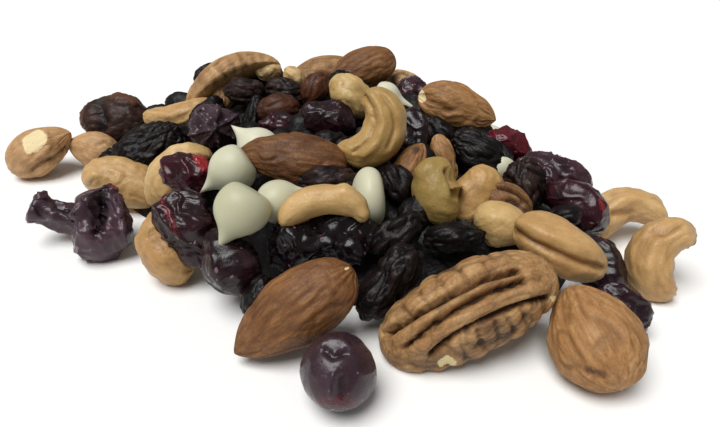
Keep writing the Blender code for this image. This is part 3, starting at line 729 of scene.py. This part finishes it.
def chip_relief(ball, points, number):
    """Slow uneven swellings, as a drop of soft sweet mass sets."""
    slow = lattice_noise(points / 6.0 + 3.3 * number, 71)
    return 0.22 * slow, np.zeros(points.shape[:-1])


FORMS = {
    "almond": (almond_form, almond_relief),
    "cashew": (cashew_form, cashew_relief),
    "pecan": (pecan_form, pecan_relief),
    "raisin": (lump_form, raisin_relief),
    "cranberry": (lump_form, cranberry_relief),
    "chip": (chip_form, chip_relief),
    "core": (lump_form, raisin_relief),
}


def grid_normals(points):
    """Outward normals of a closed grid: its steps along crossed with those round; a pole has one normal."""
    down = np.gradient(points, axis=0)
    round_ = np.roll(points, -1, axis=1) - np.roll(points, 1, axis=1)
    normal = np.cross(down, round_)
    normal[0] = normal[1].mean(0)
    normal[-1] = normal[-2].mean(0)
    return normal / np.maximum(np.linalg.norm(normal, axis=-1, keepdims=True), 1e-9)


def picture_place(points):
    """Where points appear in the photograph, in pixels across and down."""
    away = points - EYE
    tilt = math.radians(LOOK_DOWN)
    depth = away[..., 1] * math.cos(tilt) - away[..., 2] * math.sin(tilt)
    rise = away[..., 1] * math.sin(tilt) + away[..., 2] * math.cos(tilt)
    across = PICTURE_WIDTH / 2 + FOCAL_PIXELS * away[..., 0] / depth
    return across, PICTURE_HEIGHT / 2 - FOCAL_PIXELS * rise / depth


def stroke_amount(points, normals, half_width, line):
    """A stroke's strength at each point: a bell of the distance to its line, where skin faces the camera."""
    across, down = picture_place(points)
    nearest = np.full(across.shape, 1e9)
    for (ax, ay), (bx, by) in zip(line, line[1:] or line):
        run_x, run_y = bx - ax, by - ay
        share = ((across - ax) * run_x + (down - ay) * run_y) / max(run_x ** 2 + run_y ** 2, 1e-9)
        share = np.clip(share, 0, 1)
        nearest = np.minimum(nearest, np.hypot(across - ax - share * run_x, down - ay - share * run_y))
    towards = EYE - points
    towards = towards / np.linalg.norm(towards, axis=-1, keepdims=True)
    facing = np.clip(3 * (normals * towards).sum(-1) + 0.2, 0, 1)
    return np.exp(-(nearest / half_width) ** 2) * facing


def piece_surface(piece):
    """One piece in its place: its form on a grid, raised along the normals by relief and strokes."""
    form, relief = FORMS[piece["kind"]]
    pattern = piece["row"] % PATTERN_ROWS
    ball = ball_grid(*piece["sizes"][:3], piece["face"])
    points = form(ball, *piece["sizes"])
    height, crease = relief(ball, points, pattern)
    height[0] = height[0].mean()
    height[-1] = height[-1].mean()
    height = height * piece["wrinkles"]
    crease = crease * piece["wrinkles"]
    placed = (points + grid_normals(points) * height[..., None]) @ piece["turned"].T + piece["place"]
    placed[..., 2] -= piece["sink"]
    normals = grid_normals(placed)
    # The dark marks are painted shade; the pale and torn ones are the skin's own colours
    marks = {name: np.zeros(crease.shape) for name in ("pale", "torn", "dark")}
    push = np.zeros(crease.shape)
    strokes = [
        (*stroke[2:5], line) for stroke in STROKES if stroke[:2] == (piece["kind"], piece["row"])
        for line in stroke[5:]]
    for effect, half_width, strength, line in strokes:
        amount = stroke_amount(placed, normals, half_width, line)
        if effect == "groove":
            push -= strength * amount
            # A groove also gets painted shade along its middle
            crease = crease + STROKE_CREASE * min(strength, 1) * amount ** STROKE_SHARPNESS
        elif effect == "ridge":
            push += strength * amount
        else:
            marks[effect] += strength * amount
    placed = placed + normals * push[..., None]
    placed[..., 2] = np.maximum(placed[..., 2], 0.0)
    steady = np.ones(crease.shape)
    return {
        "points": placed + HEAP_SHIFT, "grain": points + GRAIN_STEP * pattern,
        "crease": np.clip(crease, 0, MOST_CREASE), "tone": piece["tone"] * steady,
        "shift": piece["shift"] * steady, **marks}


def fold_poles(values):
    """A grid's values as one list: the mean of the first row, every inner row, the mean of the last."""
    inner = values[1:-1].reshape(-1, *values.shape[2:])
    return np.concatenate([values[:1].mean(1), inner, values[-1:].mean(1)])


def grid_faces(rings, sides):
    """Triangles of a closed grid whose first and last rows are single points, wound to face outwards."""
    row = np.arange(rings - 2)[:, None] * sides + 1
    here = np.arange(sides)[None, :]
    beside = (here + 1) % sides
    a, b = row + here, row + beside
    c, d = b + sides, a + sides
    walls = np.concatenate([np.stack([a, d, c], -1).reshape(-1, 3), np.stack([a, c, b], -1).reshape(-1, 3)])
    last = (rings - 1) * sides + 1
    first_fan = np.stack([np.zeros(sides, int), 1 + here[0], 1 + beside[0]], -1)
    last_fan = np.stack([np.full(sides, last), last - sides + beside[0], last - sides + here[0]], -1)
    return np.concatenate([first_fan, walls, last_fan])


def mesh_object(name, surfaces, material):
    """One object at the origin from several closed grids, with their values as point attributes."""
    faces = []
    count = 0
    for surface in surfaces:
        rings, sides = surface["points"].shape[:2]
        faces.append(grid_faces(rings - 1, sides) + count)
        count += (rings - 2) * sides + 2
    faces = np.concatenate(faces)
    mesh = bpy.data.meshes.new(name)
    mesh.vertices.add(count)
    mesh.loops.add(3 * len(faces))
    mesh.polygons.add(len(faces))
    mesh.loops.foreach_set("vertex_index", faces.ravel())
    mesh.polygons.foreach_set("loop_start", np.arange(0, 3 * len(faces), 3))
    for key in surfaces[0]:
        values = np.concatenate([fold_poles(surface[key]) for surface in surfaces])
        if key == "points":
            mesh.vertices.foreach_set("co", (values * MM).ravel())
        elif key == "grain":
            mesh.attributes.new(key, "FLOAT_VECTOR", "POINT").data.foreach_set("vector", values.ravel())
        else:
            mesh.attributes.new(key, "FLOAT", "POINT").data.foreach_set("value", values)
    mesh.polygons.foreach_set("use_smooth", np.ones(len(faces), bool))
    mesh.update(calc_edges=True)
    mesh.validate()
    mesh.materials.append(material)
    piece = bpy.data.objects.new(name, mesh)
    bpy.context.scene.collection.objects.link(piece)
    return piece


def build_kind(context, kind):
    """All pieces of one kind as one object that rides on the heap's body and takes the node's place."""
    name, material_name, look, slot = KINDS[kind]
    settings = context.scene.trail_mix_heap
    surfaces = [core_surface(settings.core_drop / MM)] if kind == "core" else []
    for piece in all_pieces():
        if piece["kind"] == kind:
            piece["face"] *= settings.face_size
            piece["wrinkles"] *= settings.wrinkle_depth
            surfaces.append(piece_surface(piece))
    material = food_material(material_name, look, getattr(settings, kind + "_tint", NO_TINT))
    result = mesh_object(name, surfaces, material)
    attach(result, BODY_NAME)
    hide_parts(NODE_NAME)
    return {"FINISHED"}


def core_surface(drop):
    """The core: a dome over the foot line, under the pieces' middles, roughened with noise."""
    pieces = visible_pieces()
    pieces += hidden_pieces(pieces)
    theta = np.linspace(0, math.pi, CORE_RINGS + 1)[:, None]
    angle = np.arange(CORE_SIDES)[None, :] * 2 * math.pi / CORE_SIDES
    level = np.sin(theta) * np.ones_like(angle)
    reach = CORE_INSET * core_radius(angle) * level
    x = CORE_MIDDLE[0] + reach * np.cos(angle)
    y = CORE_MIDDLE[1] + reach * np.sin(angle)
    top = core_height(x.ravel(), y.ravel(), pieces, drop, CORE_LEAST_HEIGHT).reshape(x.shape)
    top = top * (1 - np.clip(level, 0, 1) ** CORE_RIM_POWER)
    flat = np.stack([x, y, top], -1)
    wander = lattice_noise(flat / 6.0, 80)[..., None]
    lumps = np.abs(lattice_noise(flat / 6.5 + 0.3 * wander, 81))
    wrinkles = np.abs(lattice_noise(flat / 2.2 + 0.5 * wander, 82))
    rough = 4.5 * (lumps - 0.35) + 1.3 * (wrinkles - 0.3)
    above = (np.cos(theta) > 1e-6) * np.ones_like(angle)
    z = above * np.maximum(top + rough * (1 - level ** 4), 0.3 * (1 - level))
    points = np.stack([x, y, z], -1)
    still = np.zeros(x.shape)
    # The core's crease mask is painted shade in the valleys between its lumps
    return {
        "points": points + HEAP_SHIFT, "grain": points, "crease": np.clip(1 - 5 * lumps, 0, 1),
        "tone": still + CORE_TONE, "shift": still, "pale": still, "torn": still, "dark": still}


def linear(hex_colour):
    """An sRGB hex colour as linear red, green, blue and alpha."""
    parts = [int(hex_colour[place:place + 2], 16) / 255 for place in (1, 3, 5)]
    return tuple(p / 12.92 if p <= 0.04045 else ((p + 0.055) / 1.055) ** 2.4 for p in parts) + (1.0,)


def add_node(material, kind, settings, values, links):
    """Add a node with its own settings, its unlinked sockets' values and its links."""
    node = material.node_tree.nodes.new(kind)
    for name, value in settings.items():
        setattr(node, name, value)
    for socket, value in values.items():
        node.inputs[socket].default_value = value
    for socket, source in links.items():
        material.node_tree.links.new(source, node.inputs[socket])
    return node


def lay_over(material, base, mask, low, high, hex_colour, share):
    """A colour mixed over another: not at all where the mask is low, and by its share where it is high."""
    factor = add_node(material, "ShaderNodeMapRange", {}, {
        "From Min": low, "From Max": high, "To Max": share}, {"Value": mask}).outputs["Result"]
    return add_node(material, "ShaderNodeMix", {"data_type": "RGBA"}, {7: linear(hex_colour)}, {
        0: factor, 6: base}).outputs[2]


def food_material(name, look, tint):
    """A skin or kernel surface from a table of its colours and pattern sizes in mm, multiplied by a tint.

    The piece's tone plus three noises, for lengthwise streaks, blotches and fine grain, picks the colour from
    a ramp that runs from light to dark. Painted shade in the creases, bloom, specks and marked patches are
    laid over it, and the dark patches are painted shade too.
    """
    material = bpy.data.materials.new(name)
    material.use_nodes = True
    material.node_tree.nodes.clear()
    grain = add_node(material, "ShaderNodeAttribute", {"attribute_name": "grain"}, {}, {}).outputs["Vector"]
    masks = {}
    for key in ("tone", "shift", "crease", "pale", "torn", "dark"):
        masks[key] = add_node(material, "ShaderNodeAttribute", {"attribute_name": key}, {}, {}).outputs["Fac"]
    drawn = add_node(material, "ShaderNodeMapping", {}, {"Scale": look["streak_scale"]}, {"Vector": grain})
    noises = {}
    for key, values, source in (
            ("streak", {"Scale": 1.0, "Detail": 5.0, "Roughness": 0.6, "Distortion": 0.6},
             drawn.outputs["Vector"]),
            ("blotch", {"Scale": 1.0 / look["blotch_mm"], "Detail": 3.0}, grain),
            ("fine", {"Scale": 1.0 / look["fine_mm"], "Detail": 3.0}, grain)):
        noises[key] = add_node(material, "ShaderNodeTexNoise", {}, values, {"Vector": source}).outputs["Fac"]
    value = masks["tone"]
    for key, source in noises.items():
        value = add_node(material, "ShaderNodeMath", {"operation": "MULTIPLY_ADD"}, {1: look[key]}, {
            0: source, 2: value}).outputs[0]
    spread = (look["streak"] + look["blotch"] + look["fine"]) / 2
    value = add_node(material, "ShaderNodeMapRange", {}, {"From Min": spread, "From Max": spread + 1.0},
                     {"Value": value}).outputs["Result"]
    ramp = add_node(material, "ShaderNodeValToRGB", {}, {}, {"Fac": value})
    stops = ramp.color_ramp.elements
    while len(stops) < len(look["colours"]):
        stops.new(0.5)
    for stop, (place, colour) in zip(stops, look["colours"]):
        stop.position = place
        stop.color = (*(part * share for part, share in zip(linear(colour), tint)), 1.0)
    colour = ramp.outputs["Color"]
    # The crease and dark masks lay on painted shade; shift, torn, pale and the specks are the skin's own
    # colours
    # A noise makes a mask ragged before its colour is laid on: blotches for bloom, fine grain for the others
    for key, (low, high) in MASK_SPANS.items():
        if key not in look:
            continue
        hex_colour, share, ragged = look[key]
        mask = add_node(material, "ShaderNodeMath", {"operation": "MULTIPLY_ADD"}, {1: ragged}, {
            0: noises["blotch" if key == "shift" else "fine"], 2: masks[key]}).outputs[0]
        colour = lay_over(material, colour, mask, low + ragged / 2, high + ragged / 2, hex_colour, share)
    if "speck" in look:
        hex_colour, apart_mm, level, share = look["speck"]
        dots = add_node(material, "ShaderNodeTexNoise", {}, {"Scale": 1.0 / apart_mm, "Detail": 0.0}, {
            "Vector": grain}).outputs["Fac"]
        colour = lay_over(material, colour, dots, level, level + SPECK_EDGE, hex_colour, share)
    low, high = look["roughness"]
    roughness = add_node(material, "ShaderNodeMapRange", {}, {
        "From Min": NOISE_LOW, "From Max": NOISE_HIGH, "To Min": low, "To Max": high}, {
        "Value": noises["fine"]})
    height = add_node(material, "ShaderNodeMath", {"operation": "MULTIPLY_ADD"}, {1: look["streak_height"]}, {
        0: noises["streak"], 2: noises["fine"]})
    bump = add_node(material, "ShaderNodeBump", {}, {
        "Strength": look["bump"], "Distance": look["bump_mm"] * MM}, {"Height": height.outputs[0]})
    shader = add_node(material, "ShaderNodeBsdfPrincipled", {}, {
        "IOR": look["ior"], "Metallic": 0.0, **look["finish"]}, {
        "Base Color": colour, "Roughness": roughness.outputs["Result"], "Normal": bump.outputs["Normal"]})
    add_node(material, "ShaderNodeOutputMaterial", {}, {}, {"Surface": shader.outputs["BSDF"]})
    return material


# Where each mask starts to show its colour and where it shows it in full, and how soft a speck's edge is
MASK_SPANS = {
    "shift": (0.25, 1.15), "crease": (0.0, 1.0), "dark": (0.35, 0.75), "torn": (0.30, 0.75),
    "pale": (0.42, 0.56),
}
SPECK_EDGE = 0.03
# The range that a noise seldom leaves
NOISE_LOW = 0.3
NOISE_HIGH = 0.7

# A look has its colours from light to dark, the sizes of its patterns in mm and their shares, and the colours
# laid over it, each with its share and how ragged it is. Specks have a spacing in mm, a level and a share

# Almond skin: the dried brown seed coat, matt and dusty, with fine wavering streaks from end to end
ALMOND_SKIN = {
    "colours": [(0.0, "#CAA173"), (0.35, "#A67949"), (0.7, "#7C522D"), (1.0, "#50301A")],
    "streak_scale": (0.09, 0.9, 0.9), "blotch_mm": 5.0, "fine_mm": 0.5,
    "streak": 0.8, "blotch": 0.45, "fine": 0.2,
    # The crease and dark colours are painted shade
    "crease": ("#50301A", 0.45, 0.3), "pale": ("#E6D2A2", 1.0, 0.5), "dark": ("#3A2114", 0.8, 0.3),
    "roughness": (0.45, 0.65), "bump": 0.8, "bump_mm": 0.16, "streak_height": 1.8, "ior": 1.47,
    "finish": {"Specular IOR Level": 0.35, "Subsurface Weight": 0.03, "Subsurface Scale": 0.001},
}
# Cashew kernel: roasted, peeled seed, satin with a little oil, faintly ribbed and blotched by the roasting
CASHEW_KERNEL = {
    "colours": [(0.0, "#DABC88"), (0.35, "#C7A06B"), (0.7, "#A87F4C"), (1.0, "#7C5632")],
    "streak_scale": (0.12, 0.5, 0.5), "blotch_mm": 5.5, "fine_mm": 0.45,
    "streak": 0.35, "blotch": 0.65, "fine": 0.2,
    # The crease and dark colours are painted shade; the olive shift is the kernel's own colour
    "shift": ("#A89452", 0.7, 0.5), "crease": ("#7A5226", 0.7, 0.2), "dark": ("#4A2C18", 0.9, 0.3),
    "pale": ("#DCC99C", 1.0, 0.25),
    "roughness": (0.34, 0.50), "bump": 0.8, "bump_mm": 0.14, "streak_height": 0.8, "ior": 1.47,
    "finish": {"Specular IOR Level": 0.4, "Subsurface Weight": 0.08, "Subsurface Scale": 0.002,
               "Subsurface Radius": (1.0, 0.6, 0.3)},
}
# Pecan skin: thin dry seed coat over a folded kernel, matt, pale on the ridges, with painted shade darkening
# the furrows
PECAN_SKIN = {
    "colours": [(0.0, "#D2AC78"), (0.4, "#A0774B"), (0.7, "#6A472D"), (1.0, "#38231A")],
    "streak_scale": (0.14, 0.9, 0.9), "blotch_mm": 4.0, "fine_mm": 0.4,
    "streak": 0.6, "blotch": 0.6, "fine": 0.25,
    # The crease and dark colours are painted shade
    "crease": ("#2E190E", 0.9, 0.3), "pale": ("#D9C893", 1.0, 0.5), "dark": ("#2A160B", 0.9, 0.3),
    "roughness": (0.48, 0.68), "bump": 0.8, "bump_mm": 0.15, "streak_height": 1.0, "ior": 1.47,
    "finish": {"Specular IOR Level": 0.35},
}
# Raisin skin: sun-dried grape, wrinkled, black to translucent brown, its folds dusted with grey bloom
RAISIN_SKIN = {
    "colours": [(0.0, "#0E0A0A"), (0.35, "#1F1514"), (0.7, "#39231A"), (1.0, "#5C3420")],
    "streak_scale": (0.3, 0.6, 0.6), "blotch_mm": 3.0, "fine_mm": 0.35,
    "streak": 0.3, "blotch": 0.4, "fine": 0.25,
    # The crease colour is painted shade; bloom and the torn brown are the skin's own colours
    "shift": ("#483A3C", 0.6, 0.9), "crease": ("#050303", 0.9, 0.2), "torn": ("#6A442E", 0.8, 0.5),
    "roughness": (0.26, 0.50), "bump": 0.8, "bump_mm": 0.16, "streak_height": 0.7, "ior": 1.45,
    "finish": {"Specular IOR Level": 0.24},
}
# Dried cranberry skin: tough sugared skin, glossy, from near black to clear dark red where it is thin or torn
CRANBERRY_SKIN = {
    "colours": [(0.0, "#10070B"), (0.35, "#260C14"), (0.7, "#450F1A"), (1.0, "#701720")],
    "streak_scale": (0.25, 0.4, 0.4), "blotch_mm": 3.5, "fine_mm": 0.4,
    "streak": 0.35, "blotch": 0.5, "fine": 0.2,
    # The crease and dark colours are painted shade; bloom, torn red and specks are the skin's own colours
    "shift": ("#5A4852", 0.6, 0.9), "crease": ("#0A0407", 0.85, 0.2), "torn": ("#98282B", 1.0, 0.6),
    "dark": ("#0A0407", 0.9, 0.3), "speck": ("#8E6A70", 1.1, 0.79, 0.7),
    "roughness": (0.18, 0.40), "bump": 0.5, "bump_mm": 0.10, "streak_height": 0.5, "ior": 1.45,
    "finish": {"Specular IOR Level": 0.38, "Coat Weight": 0.10, "Coat Roughness": 0.15},
}
# White chip: sugar and fat set in a drop, smooth and satin, slightly translucent ivory
WHITE_CHIP = {
    "colours": [(0.0, "#D9D7C0"), (0.5, "#CCCAAF"), (1.0, "#B8B698")],
    "streak_scale": (0.15, 0.15, 0.15), "blotch_mm": 8.0, "fine_mm": 0.6,
    "streak": 0.1, "blotch": 0.3, "fine": 0.05,
    # The crease colour is painted shade
    "crease": ("#B4B192", 0.4, 0.1),
    "roughness": (0.36, 0.46), "bump": 0.15, "bump_mm": 0.05, "streak_height": 0.5, "ior": 1.46,
    "finish": {"Specular IOR Level": 0.35, "Subsurface Weight": 0.15, "Subsurface Scale": 0.0015,
               "Subsurface Radius": (1.0, 0.9, 0.6)},
}
# Core: broken fruit and nut crumbs deep in the heap, painted almost black as the shade between the pieces,
# dull
CRUMB_AND_SHADE = {
    "colours": [(0.0, "#080606"), (0.5, "#100A09"), (1.0, "#1D1310")],
    "streak_scale": (0.3, 0.3, 0.3), "blotch_mm": 4.0, "fine_mm": 0.6,
    "streak": 0.5, "blotch": 0.6, "fine": 0.4,
    # The crease colour is painted shade in the core's valleys
    "crease": ("#030202", 0.9, 0.2),
    "roughness": (0.35, 0.6), "bump": 0.6, "bump_mm": 0.3, "streak_height": 1.0, "ior": 1.45,
    "finish": {"Specular IOR Level": 0.3},
}

# Each kind's object, material, look, and material slot in the record
KINDS = {
    "core": ("heap_core", "dark_crumb", CRUMB_AND_SHADE, "trail_mix"),
    "almond": ("almonds", "almond_skin", ALMOND_SKIN, "almond_skin"),
    "cashew": ("cashews", "roasted_cashew", CASHEW_KERNEL, "cashew"),
    "pecan": ("pecans", "pecan_skin", PECAN_SKIN, "pecan"),
    "raisin": ("raisins", "raisin_skin", RAISIN_SKIN, "raisin"),
    "cranberry": ("cranberries", "dried_cranberry_skin", CRANBERRY_SKIN, "cranberry"),
    "chip": ("white_chips", "white_chip", WHITE_CHIP, "white_chip"),
}


def tint_property(label):
    """A colour that multiplies one kind's own colours; white leaves them as they are."""
    return FloatVectorProperty(
        name=label, description="Multiplies the colours of this kind of piece", default=NO_TINT,
        subtype="COLOR", size=3, min=0.0, max=1.0)


class TrailMixHeapSettings(bpy.types.PropertyGroup):
    """Sizes and colours of the heap."""
    face_size: FloatProperty(
        name="Face size", description="Multiplies the size of the mesh faces", default=1.0, min=0.5, max=4.0,
        subtype="FACTOR")
    wrinkle_depth: FloatProperty(
        name="Wrinkle depth", description="Multiplies the depth of wrinkles and creases", default=1.0,
        min=0.0, max=2.0, subtype="FACTOR")
    core_drop: FloatProperty(
        name="Core depth", description="How far the core lies under the middles of the pieces",
        default=0.0036, min=0.0, unit="LENGTH")
    almond_tint: tint_property("Almond tint")
    cashew_tint: tint_property("Cashew tint")
    pecan_tint: tint_property("Pecan tint")
    raisin_tint: tint_property("Raisin tint")
    cranberry_tint: tint_property("Cranberry tint")
    chip_tint: tint_property("White chip tint")


class TrailMixStageSettings(bpy.types.PropertyGroup):
    """Light and floor of the stage."""
    floor_size: FloatProperty(
        name="Floor size", description="Side of the square floor", default=40.0, unit="LENGTH")
    floor_colour: FloatVectorProperty(
        name="Floor colour", description="Colour of the plain floor", default=linear("#F4F4F2")[:3],
        subtype="COLOR", size=3, min=0.0, max=1.0)
    key_strength: FloatProperty(
        name="Key light", description="Strength of the broad light overhead", default=3.2, min=0.0)
    key_spread: FloatProperty(
        name="Key softness", description="How wide the overhead light appears", default=math.radians(42),
        subtype="ANGLE")
    sky_strength: FloatProperty(
        name="Room light", description="Strength of the even light from all round", default=0.22, min=0.0)


class OBJECT_OT_trail_mix_core(bpy.types.Operator):
    """Add the dark core under the pieces, painted as the shade between them"""
    bl_idname = "object.trail_mix_core"
    bl_label = "Core"

    def execute(self, context):
        return build_kind(context, "core")


class OBJECT_OT_trail_mix_almonds(bpy.types.Operator):
    """Add the almonds"""
    bl_idname = "object.trail_mix_almonds"
    bl_label = "Almonds"

    def execute(self, context):
        return build_kind(context, "almond")


class OBJECT_OT_trail_mix_cashews(bpy.types.Operator):
    """Add the cashews"""
    bl_idname = "object.trail_mix_cashews"
    bl_label = "Cashews"

    def execute(self, context):
        return build_kind(context, "cashew")


class OBJECT_OT_trail_mix_pecans(bpy.types.Operator):
    """Add the pecan halves"""
    bl_idname = "object.trail_mix_pecans"
    bl_label = "Pecans"

    def execute(self, context):
        return build_kind(context, "pecan")


class OBJECT_OT_trail_mix_raisins(bpy.types.Operator):
    """Add the raisins"""
    bl_idname = "object.trail_mix_raisins"
    bl_label = "Raisins"

    def execute(self, context):
        return build_kind(context, "raisin")


class OBJECT_OT_trail_mix_cranberries(bpy.types.Operator):
    """Add the dried cranberries"""
    bl_idname = "object.trail_mix_cranberries"
    bl_label = "Cranberries"

    def execute(self, context):
        return build_kind(context, "cranberry")


class OBJECT_OT_trail_mix_chips(bpy.types.Operator):
    """Add the white chips"""
    bl_idname = "object.trail_mix_chips"
    bl_label = "White chips"

    def execute(self, context):
        return build_kind(context, "chip")


class OBJECT_OT_trail_mix_stage(bpy.types.Operator):
    """Add the floor, the lights and the camera"""
    bl_idname = "object.trail_mix_stage"
    bl_label = "Stage"

    def execute(self, context):
        settings = context.scene.trail_mix_stage
        half = settings.floor_size / 2
        mesh = bpy.data.meshes.new("floor")
        corners = [(-half, -half, 0), (half, -half, 0), (half, half, 0), (-half, half, 0)]
        mesh.from_pydata(corners, [], [(0, 1, 2, 3)])
        paper = bpy.data.materials.new("matt_paper")
        paper.use_nodes = True
        surface = paper.node_tree.nodes["Principled BSDF"]
        surface.inputs["Base Color"].default_value = (*settings.floor_colour, 1.0)
        surface.inputs["Roughness"].default_value = PAPER_ROUGHNESS
        surface.inputs["Specular IOR Level"].default_value = PAPER_GLOSS
        mesh.materials.append(paper)
        floor = bpy.data.objects.new("floor", mesh)
        context.scene.collection.objects.link(floor)
        floor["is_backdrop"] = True

        world = bpy.data.worlds.new("studio")
        context.scene.world = world
        world.use_nodes = True
        background = world.node_tree.nodes["Background"]
        background.inputs["Color"].default_value = (1.0, 1.0, 1.0, 1.0)
        background.inputs["Strength"].default_value = settings.sky_strength
        key = bpy.data.objects.new("key_light", bpy.data.lights.new("key_light", "SUN"))
        key.data.energy = settings.key_strength
        key.data.angle = settings.key_spread
        key.rotation_euler = [math.radians(turn) for turn in KEY_TURN]
        context.scene.collection.objects.link(key)

        lens = bpy.data.cameras.new("camera")
        lens.sensor_width = SENSOR_WIDTH
        lens.lens = FOCAL_PIXELS * SENSOR_WIDTH / PICTURE_WIDTH
        lens.clip_start = CLIP_START
        camera = bpy.data.objects.new("camera", lens)
        camera.location = (EYE + HEAP_SHIFT) * MM
        camera.rotation_euler = (math.radians(90 - LOOK_DOWN), 0, 0)
        context.scene.collection.objects.link(camera)
        context.scene.camera = camera
        context.scene.view_settings.view_transform = "Standard"
        return {"FINISHED"}


PIECE_OPERATORS = (
    OBJECT_OT_trail_mix_core, OBJECT_OT_trail_mix_almonds, OBJECT_OT_trail_mix_cashews,
    OBJECT_OT_trail_mix_pecans, OBJECT_OT_trail_mix_raisins, OBJECT_OT_trail_mix_cranberries,
    OBJECT_OT_trail_mix_chips, OBJECT_OT_trail_mix_stage,
)


class VIEW3D_PT_trail_mix(bpy.types.Panel):
    """The heap's parts and the stage's settings."""
    bl_label = "Trail Mix"
    bl_idname = "VIEW3D_PT_trail_mix"
    bl_space_type = "VIEW_3D"
    bl_region_type = "UI"
    bl_category = "Trail Mix"

    def draw(self, context):
        for operator in PIECE_OPERATORS:
            self.layout.operator(operator.bl_idname)
        for settings in (context.scene.trail_mix_heap, context.scene.trail_mix_stage):
            for name in type(settings).__annotations__:
                self.layout.prop(settings, name)


CLASSES = (TrailMixHeapSettings, TrailMixStageSettings, *PIECE_OPERATORS, VIEW3D_PT_trail_mix)


def register():
    for item in CLASSES:
        bpy.utils.register_class(item)
    bpy.types.Scene.trail_mix_heap = PointerProperty(type=TrailMixHeapSettings)
    bpy.types.Scene.trail_mix_stage = PointerProperty(type=TrailMixStageSettings)


def unregister():
    del bpy.types.Scene.trail_mix_stage
    del bpy.types.Scene.trail_mix_heap
    for item in reversed(CLASSES):
        bpy.utils.unregister_class(item)


def main():
    register()
    for operator in PIECE_OPERATORS:
        group, name = operator.bl_idname.split(".")
        getattr(getattr(bpy.ops, group), name)()
    boxes = {"cad": CAD_BOX, "visual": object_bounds()}
    sizes = {key: [[float(value) for value in corner] for corner in box] for key, box in boxes.items()}


if __name__ == "__main__":
    main()
